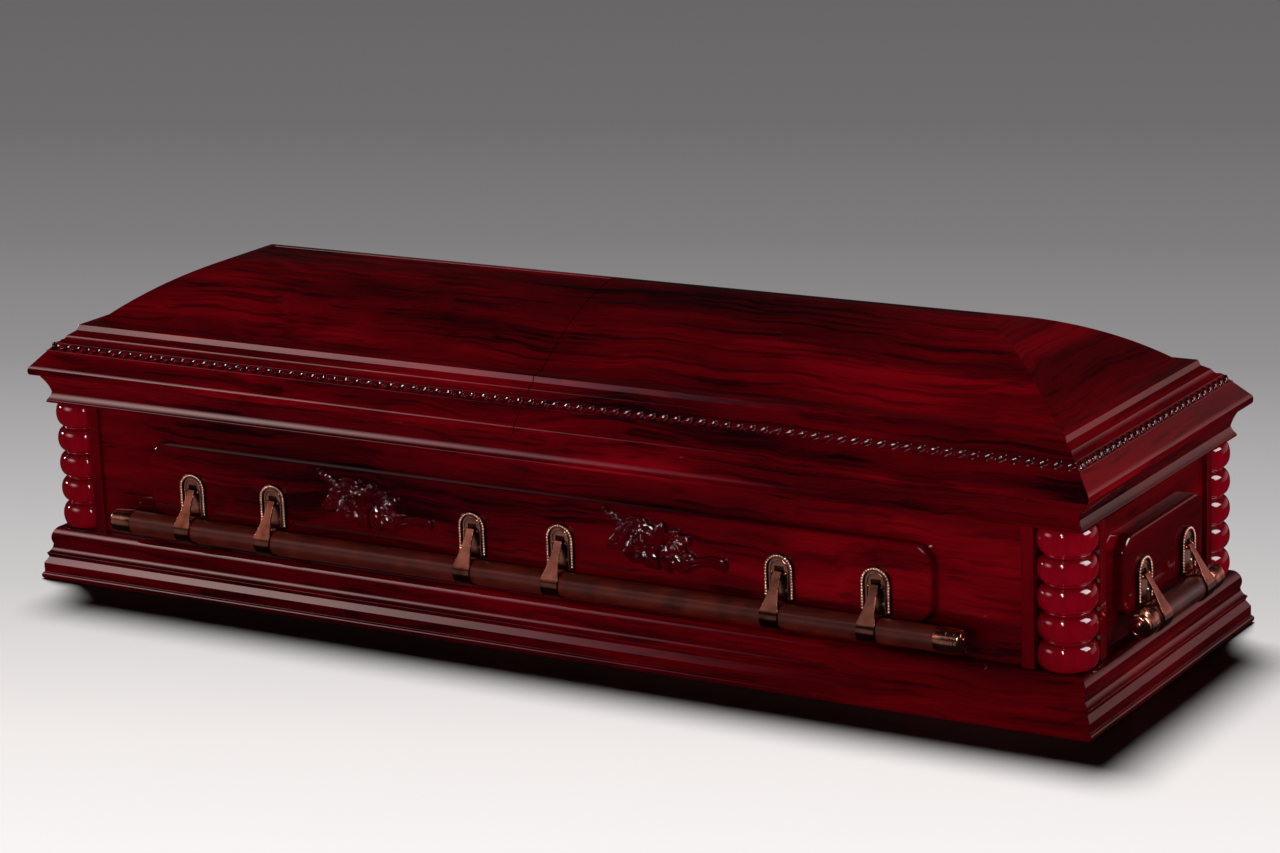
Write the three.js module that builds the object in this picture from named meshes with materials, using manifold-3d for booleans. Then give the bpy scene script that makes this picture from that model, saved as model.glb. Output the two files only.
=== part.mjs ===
import * as THREE from 'three';
import { mergeVertices } from 'three/addons/utils/BufferGeometryUtils.js';
import Module from 'manifold-3d';

// A wooden funeral casket: a moulded base, framed walls with turned corner columns, a two-part
// hipped lid, carved rose sprays, and four swing bars hung from arched lugs.
// X runs along the casket, the front is at -Y, Z is up, the origin is the middle of the underside.
// "Out" is the distance beyond the base's lower edge, so it is negative for what is set back.

// Driving sizes, in millimetres
const baseLength = 2100;
const baseWidth = 666;
const seatGap = 0.3;
const mitreGap = 0.3;

// Base moulding, from the floor up
const footBeadRise = 13.2;
const footBeadBulge = 4.4;
const footFaceRise = 16.6;
const footSlopeRise = 11.6;
const footSlopeRun = 7.2;
const footFilletRise = 7;
const footFilletReach = 2.9;
const footCoveRise = 17;
const footCoveRun = 9.6;
const footCoveDepth = 2.6;
const footTorusRise = 30.6;
const footTorusRun = 8;
const footTorusBulge = 5.5;
const mouldingDepth = 58;
const floorThickness = 18;
const rebateDepth = 22;

// Walls
const wallSetback = 36;
const wallThickness = 20;
const wallRise = 237;
const stripWidth = 22;
const stripProud = 8;
const cornerRecess = 107;

// Raised boards on the walls
const boardProud = 19;
const boardEdgeRadius = 5;
const boardCornerRadius = 36;
const boardLift = 53;
const boardRise = 132;
const sideBoardLength = 1570;
const endBoardLength = 320;
const sideGroupShift = -15;

// Corner columns
const columnSetback = 66;
const columnRadius = 49.5;
const columnNeckRadius = 36;
const columnNeckRise = 5;
const columnBulges = 5;

// Cornice round the top of the walls
const corniceTipSetback = 19.5;
const corniceFilletRise = 5;
const corniceFlareRise = 43.2;
const corniceFlareReach = 5.2;
const corniceCoveDepth = 7;
const corniceLipRise = 6;
const corniceInnerDepth = 56;

// Lid
const rimReach = 0.2;
const rimRise = 13.4;
const rimBulge = 1.3;
const grooveRise = 4.9;
const grooveRun = 4.5;
const bevelRise = 23.2;
const bevelRun = 21.4;
const ropeRise = 13.6;
const ropeRun = 12.4;
const stepRise = 11.6;
const stepRun = 14.3;
const stepCoveDepth = 2.2;
const apronRise = 8;
const apronRun = 13.1;
const ledgeRise = 10.1;
const ledgeRun = 3.7;
const ledgeTopRise = 3.7;
const ledgeTopRun = 26.3;
const crownRise = 110;
const crownBulge = 16.6;
const lidThickness = 18;
const lidRimThickness = 58;
const seamGap = 1;

// Swing bars
const barRadius = 21;
const tipProud = 1;
const tipLength = 50;
const tipCapLength = 8;
const sideBarLength = 1712;
const endBarLength = 322;
const runningGap = 0.3;
const clampThickness = 3;
const clampWidth = 34;
const strapTopWidth = 15;
const strapWaistShare = 0.45;
const strapWaistWidth = 19;
const knuckleRadius = 4.5;
const pivotProud = 2.7;
const pivotRise = 45;

// Lugs that hold the bars
const lugWidth = 54;
const lugRise = 78;
const lugInset = 9;
const lugPlate = 3;
const lugBorderWidth = 6;
const lugBorderProud = 8.5;
const slotClearance = 1.5;
const slotAbove = 12;
const slotBelow = 6;
const cheekWidth = 5;
const cheekStep = 1;
const lugPairSpacing = 177;
const lugGroupSpacing = 598;

// Carved rose sprays
const sprayOffset = 292;
const sprayRise = 76;
const sprayLength = 236;
const sprayProud = 21;

// Numbers of facets, and the distance under which near points count as one
const mergeDistance = 0.02;
const columnFacets = 10;
const bulgeFacets = 3;
const barFacets = 10;
const knuckleFacets = 6;
const archFacets = 6;
const crownFacets = 6;
const leafStations = 3;

// Shape of the carved leaves and petals, as shares
const leafFullness = 0.8;
const ribShare = 0.4;
const petalRollShare = 0.35;
const petalDip = 0.84;

// The rose spray is drawn in its own units and then brought to its length and its height
const drawnSprayLength = 236;
const drawnSprayProud = 21;

// Sizes worked out from the ones above
const halfLength = baseLength / 2;
const halfWidth = baseWidth / 2;
const baseRise = footBeadRise + footFaceRise + footSlopeRise + footFilletRise + footCoveRise + footTorusRise;
const wallBottom = baseRise + seatGap;
const corniceBottom = baseRise + wallRise;
const wallTop = corniceBottom - seatGap;
const corniceTop = corniceBottom + corniceFilletRise + corniceFlareRise + corniceLipRise;
const lidBottom = corniceTop + seatGap;
const boardOut = boardProud - wallSetback;
const clampHoleRadius = barRadius + runningGap;
const clampRadius = clampHoleRadius + clampThickness;
const lugBackOut = boardOut + seatGap;
const lugFaceOut = lugBackOut + lugPlate;
const pivotOut = lugFaceOut + pivotProud;
const lugBottom = baseRise + boardLift + lugInset;
const pivotHeight = lugBottom + pivotRise;
const tipRadius = barRadius + tipProud;
const barOut = boardOut + tipRadius + runningGap;
const barHeight = lugBottom - barRadius;

// Colours, roughness and metalness of the finishes
const lacquer = { color: 0x4a0509, roughness: 0.18, metalness: 0 };
const redLacquer = { color: 0x8c0a1c, roughness: 0.15, metalness: 0 };
const darkLacquer = { color: 0x2a060a, roughness: 0.2, metalness: 0 };
const copper = { color: 0x7a4636, roughness: 0.28, metalness: 0.9 };
const brownBar = { color: 0x45170f, roughness: 0.35, metalness: 0.5 };

const casket = new THREE.Group();
const wasm = await Module();
wasm.setup();

// Adds a named piece; the pose turns and moves it into place
function addPiece(name, geometry, finish, pose = new THREE.Matrix4()) {
  const mesh = new THREE.Mesh(geometry, new THREE.MeshStandardMaterial(finish));
  mesh.name = name;
  mesh.applyMatrix4(pose);
  casket.add(mesh);
}

// Turns a closed geometry into a solid that can be joined and cut
function toSolid(geometry) {
  const bare = new THREE.BufferGeometry();
  bare.setAttribute('position', geometry.getAttribute('position'));
  bare.setIndex(geometry.getIndex());
  const merged = mergeVertices(bare, 1e-4);
  return new wasm.Manifold(new wasm.Mesh({
    numProp: 3,
    vertProperties: new Float32Array(merged.getAttribute('position').array),
    triVerts: new Uint32Array(merged.getIndex().array),
  }));
}

// Turns a solid back into a geometry
function toGeometry(solid) {
  const mesh = solid.simplify(mergeDistance).getMesh();
  const geometry = new THREE.BufferGeometry();
  geometry.setAttribute('position', new THREE.BufferAttribute(mesh.vertProperties, 3));
  geometry.setIndex(new THREE.BufferAttribute(mesh.triVerts, 1));
  return geometry;
}

function joined(geometries) {
  let solid = toSolid(geometries[0]);
  for (const geometry of geometries.slice(1)) {
    solid = solid.add(toSolid(geometry));
  }
  return solid;
}

// A box from its lowest to its highest corner
function boxBetween(low, high) {
  const box = new THREE.BoxGeometry(high[0] - low[0], high[1] - low[1], high[2] - low[2]);
  box.translate((high[0] + low[0]) / 2, (high[1] + low[1]) / 2, (high[2] + low[2]) / 2);
  return box;
}

function extruded(shape, depth) {
  return new THREE.ExtrudeGeometry(shape, { depth, bevelEnabled: false });
}

// Adds an arc to an outline; a positive bulge is on the right of the way to the end point
function arcTo(outline, endX, endY, bulge, facets) {
  const start = outline[outline.length - 1];
  const end = new THREE.Vector2(endX, endY);
  const chord = end.clone().sub(start);
  const side = new THREE.Vector2(chord.y, -chord.x).normalize();
  const halfAngle = 2 * Math.atan(2 * Math.abs(bulge) / chord.length());
  const radius = chord.length() / (2 * Math.sin(halfAngle));
  for (let i = 1; i < facets; i += 1) {
    const angle = halfAngle * (2 * i / facets - 1);
    const along = 0.5 + Math.sin(angle) * radius / chord.length();
    const out = (Math.cos(angle) - Math.cos(halfAngle)) * radius * Math.sign(bulge);
    outline.push(start.clone().addScaledVector(chord, along).addScaledVector(side, out));
  }
  outline.push(end);
}

// Moves on from the last point of an outline by a run and a rise
function stepBy(outline, run, rise) {
  const last = outline[outline.length - 1];
  outline.push(new THREE.Vector2(last.x + run, last.y + rise));
}

function arcBy(outline, run, rise, bulge, facets) {
  const last = outline[outline.length - 1];
  arcTo(outline, last.x + run, last.y + rise, bulge, facets);
}

// A moulding with mitred ends along the front; its outline holds the out distance and the height
function mitredMoulding(outline, halfRun, halfDepth) {
  const geometry = extruded(new THREE.Shape(outline), 1);
  const position = geometry.getAttribute('position');
  for (let i = 0; i < position.count; i += 1) {
    const out = position.getX(i);
    const height = position.getY(i);
    const share = 1 - 2 * position.getZ(i);
    position.setXYZ(i, share * (halfRun + out - mitreGap / 2), -halfDepth - out, height);
  }
  return geometry;
}

// The four sides of the casket: a piece made for the front is turned to the others
const sides = [
  { name: 'front', turn: 0, halfRun: halfLength, halfDepth: halfWidth },
  { name: 'right', turn: Math.PI / 2, halfRun: halfWidth, halfDepth: halfLength },
  { name: 'back', turn: Math.PI, halfRun: halfLength, halfDepth: halfWidth },
  { name: 'left', turn: -Math.PI / 2, halfRun: halfWidth, halfDepth: halfLength },
];

function isLong(side) {
  return side.name === 'front' || side.name === 'back';
}

function turned(side) {
  return new THREE.Matrix4().makeRotationZ(side.turn);
}

// Base moulding: bead, face, slope, fillet, cove and torus, with a rebate inside for the floor
function baseOutline() {
  const outline = [new THREE.Vector2(0, 0)];
  arcBy(outline, 0, footBeadRise, footBeadBulge, 4);
  stepBy(outline, 0, footFaceRise);
  stepBy(outline, -footSlopeRun, footSlopeRise);
  stepBy(outline, footFilletReach, footFilletRise);
  arcBy(outline, -footCoveRun, footCoveRise, -footCoveDepth, 3);
  arcBy(outline, -footTorusRun, footTorusRise, footTorusBulge, 5);
  outline.push(new THREE.Vector2(rebateDepth - mouldingDepth, baseRise));
  stepBy(outline, 0, -floorThickness - seatGap);
  outline.push(new THREE.Vector2(-mouldingDepth, baseRise - floorThickness - seatGap));
  outline.push(new THREE.Vector2(-mouldingDepth, 0));
  return outline;
}

for (const side of sides) {
  const geometry = mitredMoulding(baseOutline(), side.halfRun, side.halfDepth);
  addPiece(`base_moulding_${side.name}`, geometry, lacquer, turned(side));
}

// Floor board, in the rebate of the base moulding
const floorInset = mouldingDepth - rebateDepth + seatGap;
const floorBoard = boxBetween(
  [-halfLength + floorInset, -halfWidth + floorInset, baseRise - floorThickness],
  [halfLength - floorInset, halfWidth - floorInset, baseRise],
);
addPiece('floor_board', floorBoard, lacquer);

// The hollow inside the walls, as two crossed boxes from one height to another
function innerHollow(bottom, top) {
  const recess = cornerRecess + wallThickness;
  const inner = wallSetback + wallThickness;
  return joined([
    boxBetween(
      [recess - halfLength, inner - halfWidth, bottom],
      [halfLength - recess, halfWidth - inner, top],
    ),
    boxBetween(
      [inner - halfLength, recess - halfWidth, bottom],
      [halfLength - inner, halfWidth - recess, top],
    ),
  ]);
}

// A board with rounded corners and a rounded front edge, lying in XY with its face up
function raisedBoard(length, rise) {
  const x = length / 2 - boardEdgeRadius;
  const y = rise / 2 - boardEdgeRadius;
  const corner = boardCornerRadius - boardEdgeRadius;
  const shape = new THREE.Shape();
  shape.moveTo(-x + corner, -y);
  shape.lineTo(x - corner, -y);
  shape.absarc(x - corner, -y + corner, corner, -Math.PI / 2, 0, false);
  shape.absarc(x - corner, y - corner, corner, 0, Math.PI / 2, false);
  shape.absarc(-x + corner, y - corner, corner, Math.PI / 2, Math.PI, false);
  shape.absarc(-x + corner, -y + corner, corner, Math.PI, Math.PI * 1.5, false);
  const geometry = new THREE.ExtrudeGeometry(shape, {
    depth: boardProud,
    curveSegments: 3,
    bevelThickness: boardEdgeRadius,
    bevelSize: boardEdgeRadius,
    bevelSegments: 1,
  });
  geometry.translate(0, 0, -boardEdgeRadius);
  return geometry;
}

// A wall with its two edge strips and its raised board; long walls stop at the corner blocks
function wallPanel(side) {
  const outline = new THREE.Shape();
  const face = -side.halfDepth + wallSetback;
  const edge = side.halfRun - cornerRecess;
  const back = face + wallThickness;
  const returnEnd = -side.halfDepth + cornerRecess - (isLong(side) ? seatGap : 0);
  const inside = edge - wallThickness;
  if (isLong(side)) {
    outline.moveTo(-edge, face);
    outline.lineTo(edge, face);
    outline.lineTo(edge, returnEnd);
    outline.lineTo(inside, returnEnd);
    outline.lineTo(inside, back);
    outline.lineTo(-inside, back);
    outline.lineTo(-inside, returnEnd);
    outline.lineTo(-edge, returnEnd);
  } else {
    const blockEnd = returnEnd + wallThickness;
    outline.moveTo(-edge, face);
    outline.lineTo(edge, face);
    outline.lineTo(edge, blockEnd);
    outline.lineTo(inside, blockEnd);
    outline.lineTo(inside, back);
    outline.lineTo(-inside, back);
    outline.lineTo(-inside, blockEnd);
    outline.lineTo(-edge, blockEnd);
  }
  const wall = extruded(outline, wallTop - wallBottom);
  wall.translate(0, 0, wallBottom);
  const parts = [wall];
  for (const end of [-1, 1]) {
    const inner = end * (edge - stripWidth);
    const outer = end * edge;
    parts.push(boxBetween(
      [Math.min(inner, outer), face - stripProud, wallBottom],
      [Math.max(inner, outer), face + wallThickness / 2, wallTop],
    ));
  }
  const board = raisedBoard(isLong(side) ? sideBoardLength : endBoardLength, boardRise);
  board.rotateX(Math.PI / 2);
  board.translate(groupShift(side), face, baseRise + boardLift + boardRise / 2);
  parts.push(board);
  return toGeometry(joined(parts));
}

// The boards and fittings of the long sides sit a little off the middle
function groupShift(side) {
  const alongFront = isLong(side) ? sideGroupShift : 0;
  return side.name === 'back' ? -alongFront : alongFront;
}

for (const side of sides) {
  const kind = isLong(side) ? 'side_wall' : 'end_wall';
  addPiece(`${kind}_${side.name}`, wallPanel(side), lacquer, turned(side));
}

// Corner column: turned bulges, with flats against the two faces of its recess
function cornerColumn() {
  const rise = wallTop - wallBottom;
  const bulgeRise = rise / columnBulges;
  const outline = [new THREE.Vector2(0, 0)];
  for (let i = 0; i < columnBulges; i += 1) {
    const bottom = i * bulgeRise + columnNeckRise / 2;
    const top = (i + 1) * bulgeRise - columnNeckRise / 2;
    outline.push(new THREE.Vector2(columnNeckRadius, i === 0 ? 0 : bottom));
    arcTo(outline, columnNeckRadius, i === columnBulges - 1 ? rise : top,
      columnRadius - columnNeckRadius, bulgeFacets);
  }
  outline.push(new THREE.Vector2(0, rise));
  const column = new THREE.LatheGeometry(outline, columnFacets);
  column.rotateX(Math.PI / 2);
  column.translate(0, 0, wallBottom);
  const flat = cornerRecess - columnSetback - seatGap;
  const keep = boxBetween(
    [-flat, -2 * columnRadius, wallBottom - columnRadius],
    [2 * columnRadius, flat, wallTop + columnRadius],
  );
  return toGeometry(toSolid(column).intersect(toSolid(keep)));
}

const columnCorners = [
  { name: 'front_right', turn: 0, x: 1, y: -1 },
  { name: 'back_right', turn: Math.PI / 2, x: 1, y: 1 },
  { name: 'back_left', turn: Math.PI, x: -1, y: 1 },
  { name: 'front_left', turn: -Math.PI / 2, x: -1, y: -1 },
];
for (const corner of columnCorners) {
  const pose = new THREE.Matrix4().makeTranslation(
    corner.x * (halfLength - columnSetback),
    corner.y * (halfWidth - columnSetback),
    0,
  );
  pose.multiply(new THREE.Matrix4().makeRotationZ(corner.turn));
  addPiece(`corner_column_${corner.name}`, cornerColumn(), redLacquer, pose);
}

// Cornice: a fillet, a flaring cove and a lip, wide enough at the corners to cover the columns
function corniceOutline() {
  const outline = [new THREE.Vector2(-corniceTipSetback, corniceBottom)];
  stepBy(outline, 0, corniceFilletRise);
  arcBy(outline, corniceFlareReach, corniceFlareRise, -corniceCoveDepth, 6);
  stepBy(outline, 0, corniceLipRise);
  const inner = -cornerRecess - wallThickness;
  outline.push(new THREE.Vector2(inner, corniceTop));
  outline.push(new THREE.Vector2(inner, corniceBottom));
  return outline;
}

for (const side of sides) {
  const moulding = toSolid(mitredMoulding(corniceOutline(), side.halfRun, side.halfDepth));
  const hollow = innerHollow(corniceBottom - corniceInnerDepth, corniceTop + corniceInnerDepth);
  const turnedHollow = isLong(side) ? hollow : hollow.rotate([0, 0, 90]);
  addPiece(`cornice_${side.name}`, toGeometry(moulding.subtract(turnedHollow)), lacquer, turned(side));
}

// Outer outline of the lid, from the rim's lower edge up to the crown's foot
function lidOutline() {
  const outline = [new THREE.Vector2(rimReach, lidBottom)];
  arcBy(outline, 0, rimRise, rimBulge, 2);
  stepBy(outline, -grooveRun, grooveRise);
  stepBy(outline, -bevelRun, bevelRise);
  stepBy(outline, -ropeRun, ropeRise);
  arcBy(outline, -stepRun, stepRise, -stepCoveDepth, 3);
  stepBy(outline, -apronRun, apronRise);
  stepBy(outline, -ledgeRun, ledgeRise);
  stepBy(outline, -ledgeTopRun, ledgeTopRise);
  return outline;
}

// A solid with four sloping sides: each point of the outline is a level, the last is the ridge
function hippedSolid(outline) {
  const corners = [];
  for (const point of outline) {
    const x = halfLength + point.x;
    const y = halfWidth + point.x;
    corners.push([[-x, -y], [x, -y], [x, y], [-x, y]].map((c) => [c[0], c[1], point.y]));
  }
  const positions = corners.flat().flat();
  const index = [0, 2, 1, 0, 3, 2];
  for (let level = 0; level < outline.length - 1; level += 1) {
    for (let side = 0; side < 4; side += 1) {
      const a = level * 4 + side;
      const b = level * 4 + (side + 1) % 4;
      index.push(a, b, b + 4, a, b + 4, a + 4);
    }
  }
  const geometry = new THREE.BufferGeometry();
  geometry.setAttribute('position', new THREE.BufferAttribute(new Float32Array(positions), 3));
  geometry.setIndex(index);
  return geometry;
}

// The crown rises from its foot in one arc to the ridge over the middle
function withCrown(outline, ridgeHeight, bulge) {
  arcTo(outline, -halfWidth, ridgeHeight, bulge, crownFacets);
  return outline;
}

const lidLine = lidOutline();
const crownFoot = lidLine[lidLine.length - 1];
const ridgeHeight = crownFoot.y + crownRise;
const lidOuter = toSolid(hippedSolid(withCrown(lidLine.slice(), ridgeHeight, crownBulge)));
const crownSlope = Math.atan2(crownRise, halfWidth + crownFoot.x);
const innerFoot = new THREE.Vector2(
  crownFoot.x - lidThickness * Math.sin(crownSlope),
  crownFoot.y - lidThickness * Math.cos(crownSlope),
);
const innerLine = [
  new THREE.Vector2(-lidRimThickness, lidBottom - lidThickness),
  new THREE.Vector2(-lidRimThickness, lidBottom + rimRise + grooveRise),
  innerFoot,
];
const lidInner = toSolid(hippedSolid(
  withCrown(innerLine, ridgeHeight - lidThickness / Math.cos(crownSlope), crownBulge),
));
const lidShell = lidOuter.subtract(lidInner);
for (const half of [{ name: 'left', side: -1 }, { name: 'right', side: 1 }]) {
  const near = half.side * seamGap / 2;
  const far = half.side * baseLength;
  const keep = boxBetween(
    [Math.min(near, far), -baseWidth, 0],
    [Math.max(near, far), baseWidth, ridgeHeight + baseWidth],
  );
  addPiece(`lid_half_${half.name}`, toGeometry(lidShell.intersect(toSolid(keep))), lacquer);
}

// Arched outline of a lug, centred on its width, from its bottom up
function archShape(width, rise, facets) {
  const radius = width / 2;
  const shape = new THREE.Shape();
  shape.moveTo(-radius, 0);
  shape.lineTo(radius, 0);
  for (let i = 0; i <= facets; i += 1) {
    const angle = Math.PI * i / facets;
    shape.lineTo(radius * Math.cos(angle), rise - radius + radius * Math.sin(angle));
  }
  return shape;
}

// Lug: an arched plate with a raised border, a slot for the arm's knuckle, and a cheek at each
// end of the knuckle. Its face is towards -Y, and Y is 0 on the board.
function lug() {
  const plate = extruded(archShape(lugWidth, lugRise, archFacets), lugPlate);
  const borderDepth = lugBorderProud - seatGap;
  const outer = extruded(archShape(lugWidth, lugRise, archFacets), borderDepth);
  const innerWidth = lugWidth - 2 * lugBorderWidth;
  const inner = extruded(archShape(innerWidth, lugRise, archFacets), borderDepth);
  inner.translate(0, -lugBorderWidth, lugPlate);
  let solid = toSolid(outer).subtract(toSolid(inner)).add(toSolid(plate));
  const slotHalf = strapTopWidth / 2 + slotClearance;
  const pivot = pivotHeight - lugBottom;
  const slot = boxBetween(
    [-slotHalf, pivot - slotBelow, -lugPlate],
    [slotHalf, pivot + slotAbove, 2 * lugPlate],
  );
  solid = solid.subtract(toSolid(slot));
  const cheek = knuckleRadius - cheekStep;
  for (const end of [-1, 1]) {
    const near = end * (slotHalf + runningGap);
    const far = near + end * cheekWidth;
    solid = solid.add(toSolid(boxBetween(
      [Math.min(near, far), pivot - cheek, lugPlate / 2],
      [Math.max(near, far), pivot + cheek, pivotOut - lugBackOut + cheek],
    )));
  }
  const geometry = toGeometry(solid);
  geometry.rotateX(Math.PI / 2);
  geometry.translate(0, -seatGap, lugBottom);
  return geometry;
}

// A leaf of the rose spray from its stem to its tip, with a raised midrib. The relief lies on
// the board: X runs along it, Y up it, and Z is the height off it.
function leaf(stem, tip, width, height) {
  const along = new THREE.Vector2(tip[0] - stem[0], tip[1] - stem[1]);
  const across = new THREE.Vector2(-along.y, along.x).normalize();
  const positions = [stem[0], stem[1], 0];
  for (let i = 1; i < leafStations; i += 1) {
    const share = i / leafStations;
    const swell = Math.sin(Math.PI * share ** leafFullness);
    for (const side of [-1, 0, 1]) {
      const offset = side * swell * width / 2;
      positions.push(
        stem[0] + along.x * share + across.x * offset,
        stem[1] + along.y * share + across.y * offset,
        side === 0 ? height * (ribShare + (1 - ribShare) * swell) : 0,
      );
    }
  }
  positions.push(tip[0], tip[1], 0);
  const last = positions.length / 3 - 1;
  const index = [0, 1, 2, 0, 2, 3, 0, 3, 1];
  for (let i = 1; i + 3 < last; i += 3) {
    index.push(i, i + 3, i + 1, i + 1, i + 3, i + 4);
    index.push(i + 1, i + 4, i + 2, i + 2, i + 4, i + 5);
    index.push(i + 2, i + 5, i, i, i + 5, i + 3);
  }
  index.push(last, last - 2, last - 3, last, last - 1, last - 2, last, last - 3, last - 1);
  const geometry = new THREE.BufferGeometry();
  geometry.setAttribute('position', new THREE.BufferAttribute(new Float32Array(positions), 3));
  geometry.setIndex(index);
  return geometry;
}

// A ring of petals: a lobed disc with its edge rolled over
function petalRing(centre, radius, height, lobes, turn) {
  const roll = height * petalRollShare;
  const shape = new THREE.Shape();
  for (let i = 0; i < lobes * 2; i += 1) {
    const angle = turn + Math.PI * i / lobes;
    const reach = (radius - roll) * (i % 2 === 0 ? 1 : petalDip);
    const x = centre[0] + reach * Math.cos(angle);
    const y = centre[1] + reach * Math.sin(angle);
    if (i === 0) {
      shape.moveTo(x, y);
    } else {
      shape.lineTo(x, y);
    }
  }
  const ring = new THREE.ExtrudeGeometry(shape, {
    depth: height - roll,
    bevelThickness: roll,
    bevelSize: roll,
    bevelOffset: 0,
    bevelSegments: 1,
  });
  return ring;
}

function roseSpray() {
  const bloom = [-49, 10];
  const smallBloom = [24, 1];
  const ribbon = new THREE.Shape();
  ribbon.moveTo(8, -14);
  ribbon.lineTo(29, -42);
  ribbon.lineTo(62, -36);
  ribbon.lineTo(82, -27);
  ribbon.lineTo(115, -36);
  ribbon.lineTo(119, -30);
  ribbon.lineTo(106, -10);
  ribbon.lineTo(76, -13);
  ribbon.lineTo(48, -17);
  ribbon.lineTo(30, -8);
  const parts = [
    petalRing(bloom, 36, 9, 5, 0.3),
    petalRing([bloom[0] + 2, bloom[1] + 2], 28, 15, 5, 0.9),
    petalRing([bloom[0] + 3, bloom[1] + 3], 17, 21, 4, 0.2),
    petalRing(smallBloom, 20, 9, 5, 0.5),
    petalRing(smallBloom, 11, 14, 4, 0.1),
    leaf([-62, 18], [-117, 45], 17, 9),
    leaf([-66, -2], [-109, -18], 34, 7),
    leaf([-30, -22], [-62, -41], 34, 9),
    leaf([-20, -10], [6, 36], 34, 11),
    leaf([9, 2], [-13, -42], 26, 9),
    new THREE.ExtrudeGeometry(ribbon, {
      depth: 6,
      bevelThickness: 3,
      bevelSize: 3,
      bevelOffset: -3,
      bevelSegments: 1,
    }),
  ];
  const spray = joined(parts);
  const half = drawnSprayLength;
  const aboveBoard = boxBetween([-half, -half, 0], [half, half, 2 * drawnSprayProud]);
  const geometry = toGeometry(spray.intersect(toSolid(aboveBoard)));
  const size = sprayLength / drawnSprayLength;
  geometry.scale(size, size, sprayProud / drawnSprayProud);
  geometry.rotateX(Math.PI / 2);
  geometry.translate(0, -seatGap, 0);
  return geometry;
}

for (const [i, end] of [-1, 1].entries()) {
  const pose = new THREE.Matrix4().makeTranslation(
    sideGroupShift + end * sprayOffset,
    -halfWidth - boardOut,
    baseRise + boardLift + sprayRise,
  );
  addPiece(`rose_spray_${i + 1}`, roseSpray(), darkLacquer, pose);
}

// A cylinder along X
function rod(radius, length, facets) {
  const geometry = new THREE.CylinderGeometry(radius, radius, length, facets);
  geometry.rotateZ(Math.PI / 2);
  return geometry;
}

// Arm: a clamp round the bar, a strap flaring down to it, and a knuckle at its top.
// Y is 0 on the board face and Z is the real height.
function arm() {
  const pivotY = boardOut - pivotOut;
  const barY = boardOut - barOut;
  const spanY = barY - pivotY;
  const spanZ = barHeight - pivotHeight;
  const span = Math.hypot(spanY, spanZ);
  const lean = Math.atan2(-spanY, -spanZ) + Math.asin((clampRadius - knuckleRadius) / span);
  const strapLength = Math.sqrt(span ** 2 - (clampRadius - knuckleRadius) ** 2);
  const cornerRatio = 1 / Math.cos(Math.PI / barFacets);
  const ring = new THREE.Shape();
  ring.absarc(0, 0, clampRadius * cornerRatio, 0, 2 * Math.PI);
  const hole = new THREE.Path();
  hole.absarc(0, 0, clampHoleRadius * cornerRatio, 0, 2 * Math.PI);
  ring.holes.push(hole);
  const clamp = new THREE.ExtrudeGeometry(ring, {
    depth: clampWidth,
    bevelEnabled: false,
    curveSegments: barFacets / 2,
  });
  clamp.translate(0, 0, -clampWidth / 2);
  clamp.rotateZ(Math.PI / barFacets);
  clamp.rotateY(Math.PI / 2);
  clamp.rotateX(-lean);
  clamp.translate(0, barY, barHeight);
  const strap = new THREE.Shape();
  const waist = -strapLength * strapWaistShare;
  strap.moveTo(-strapTopWidth / 2, 0);
  strap.lineTo(-strapWaistWidth / 2, waist);
  strap.lineTo(-clampWidth / 2, -strapLength);
  strap.lineTo(clampWidth / 2, -strapLength);
  strap.lineTo(strapWaistWidth / 2, waist);
  strap.lineTo(strapTopWidth / 2, 0);
  const plate = extruded(strap, clampThickness);
  plate.rotateX(Math.PI / 2);
  plate.translate(0, -knuckleRadius + clampThickness, 0);
  plate.rotateX(-lean);
  plate.translate(0, pivotY, pivotHeight);
  const knuckle = rod(knuckleRadius, strapTopWidth, knuckleFacets);
  knuckle.rotateX(-lean);
  knuckle.translate(0, pivotY, pivotHeight);
  return toGeometry(joined([clamp, plate, knuckle]));
}

// Swing bar: a tube with a turned tip at each end, along X
function swingBar(length) {
  const half = length / 2;
  const tipStart = half - tipLength;
  const capStart = half - tipCapLength;
  const right = [
    new THREE.Vector2(barRadius, tipStart),
    new THREE.Vector2(tipRadius, tipStart),
    new THREE.Vector2(tipRadius, capStart),
    new THREE.Vector2(tipRadius / 2, half),
    new THREE.Vector2(0, half),
  ];
  const left = right.map((point) => new THREE.Vector2(point.x, -point.y)).reverse();
  const bar = new THREE.LatheGeometry([...left, ...right], barFacets);
  bar.rotateZ(-Math.PI / 2);
  return bar;
}

// Handles: places along the side, a bar for each side, and an arm and a lug at each place
function lugPlaces(side) {
  if (!isLong(side)) {
    return [-lugPairSpacing / 2, lugPairSpacing / 2];
  }
  const places = [];
  for (const group of [-1, 0, 1]) {
    for (const end of [-1, 1]) {
      places.push(group * lugGroupSpacing + end * lugPairSpacing / 2);
    }
  }
  return places;
}

for (const side of sides) {
  const boardPose = turned(side);
  boardPose.multiply(new THREE.Matrix4().makeTranslation(groupShift(side), -side.halfDepth - boardOut, 0));
  const barPose = boardPose.clone();
  barPose.multiply(new THREE.Matrix4().makeTranslation(0, boardOut - barOut, barHeight));
  const bar = swingBar(isLong(side) ? sideBarLength : endBarLength);
  addPiece(`handle_bar_${side.name}`, bar, brownBar, barPose);
  lugPlaces(side).forEach((place, i) => {
    const pose = boardPose.clone().multiply(new THREE.Matrix4().makeTranslation(place, 0, 0));
    addPiece(`handle_lug_${side.name}_${i + 1}`, lug(), copper, pose);
    addPiece(`handle_arm_${side.name}_${i + 1}`, arm(), copper, pose);
  });
}

export default casket;
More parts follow.
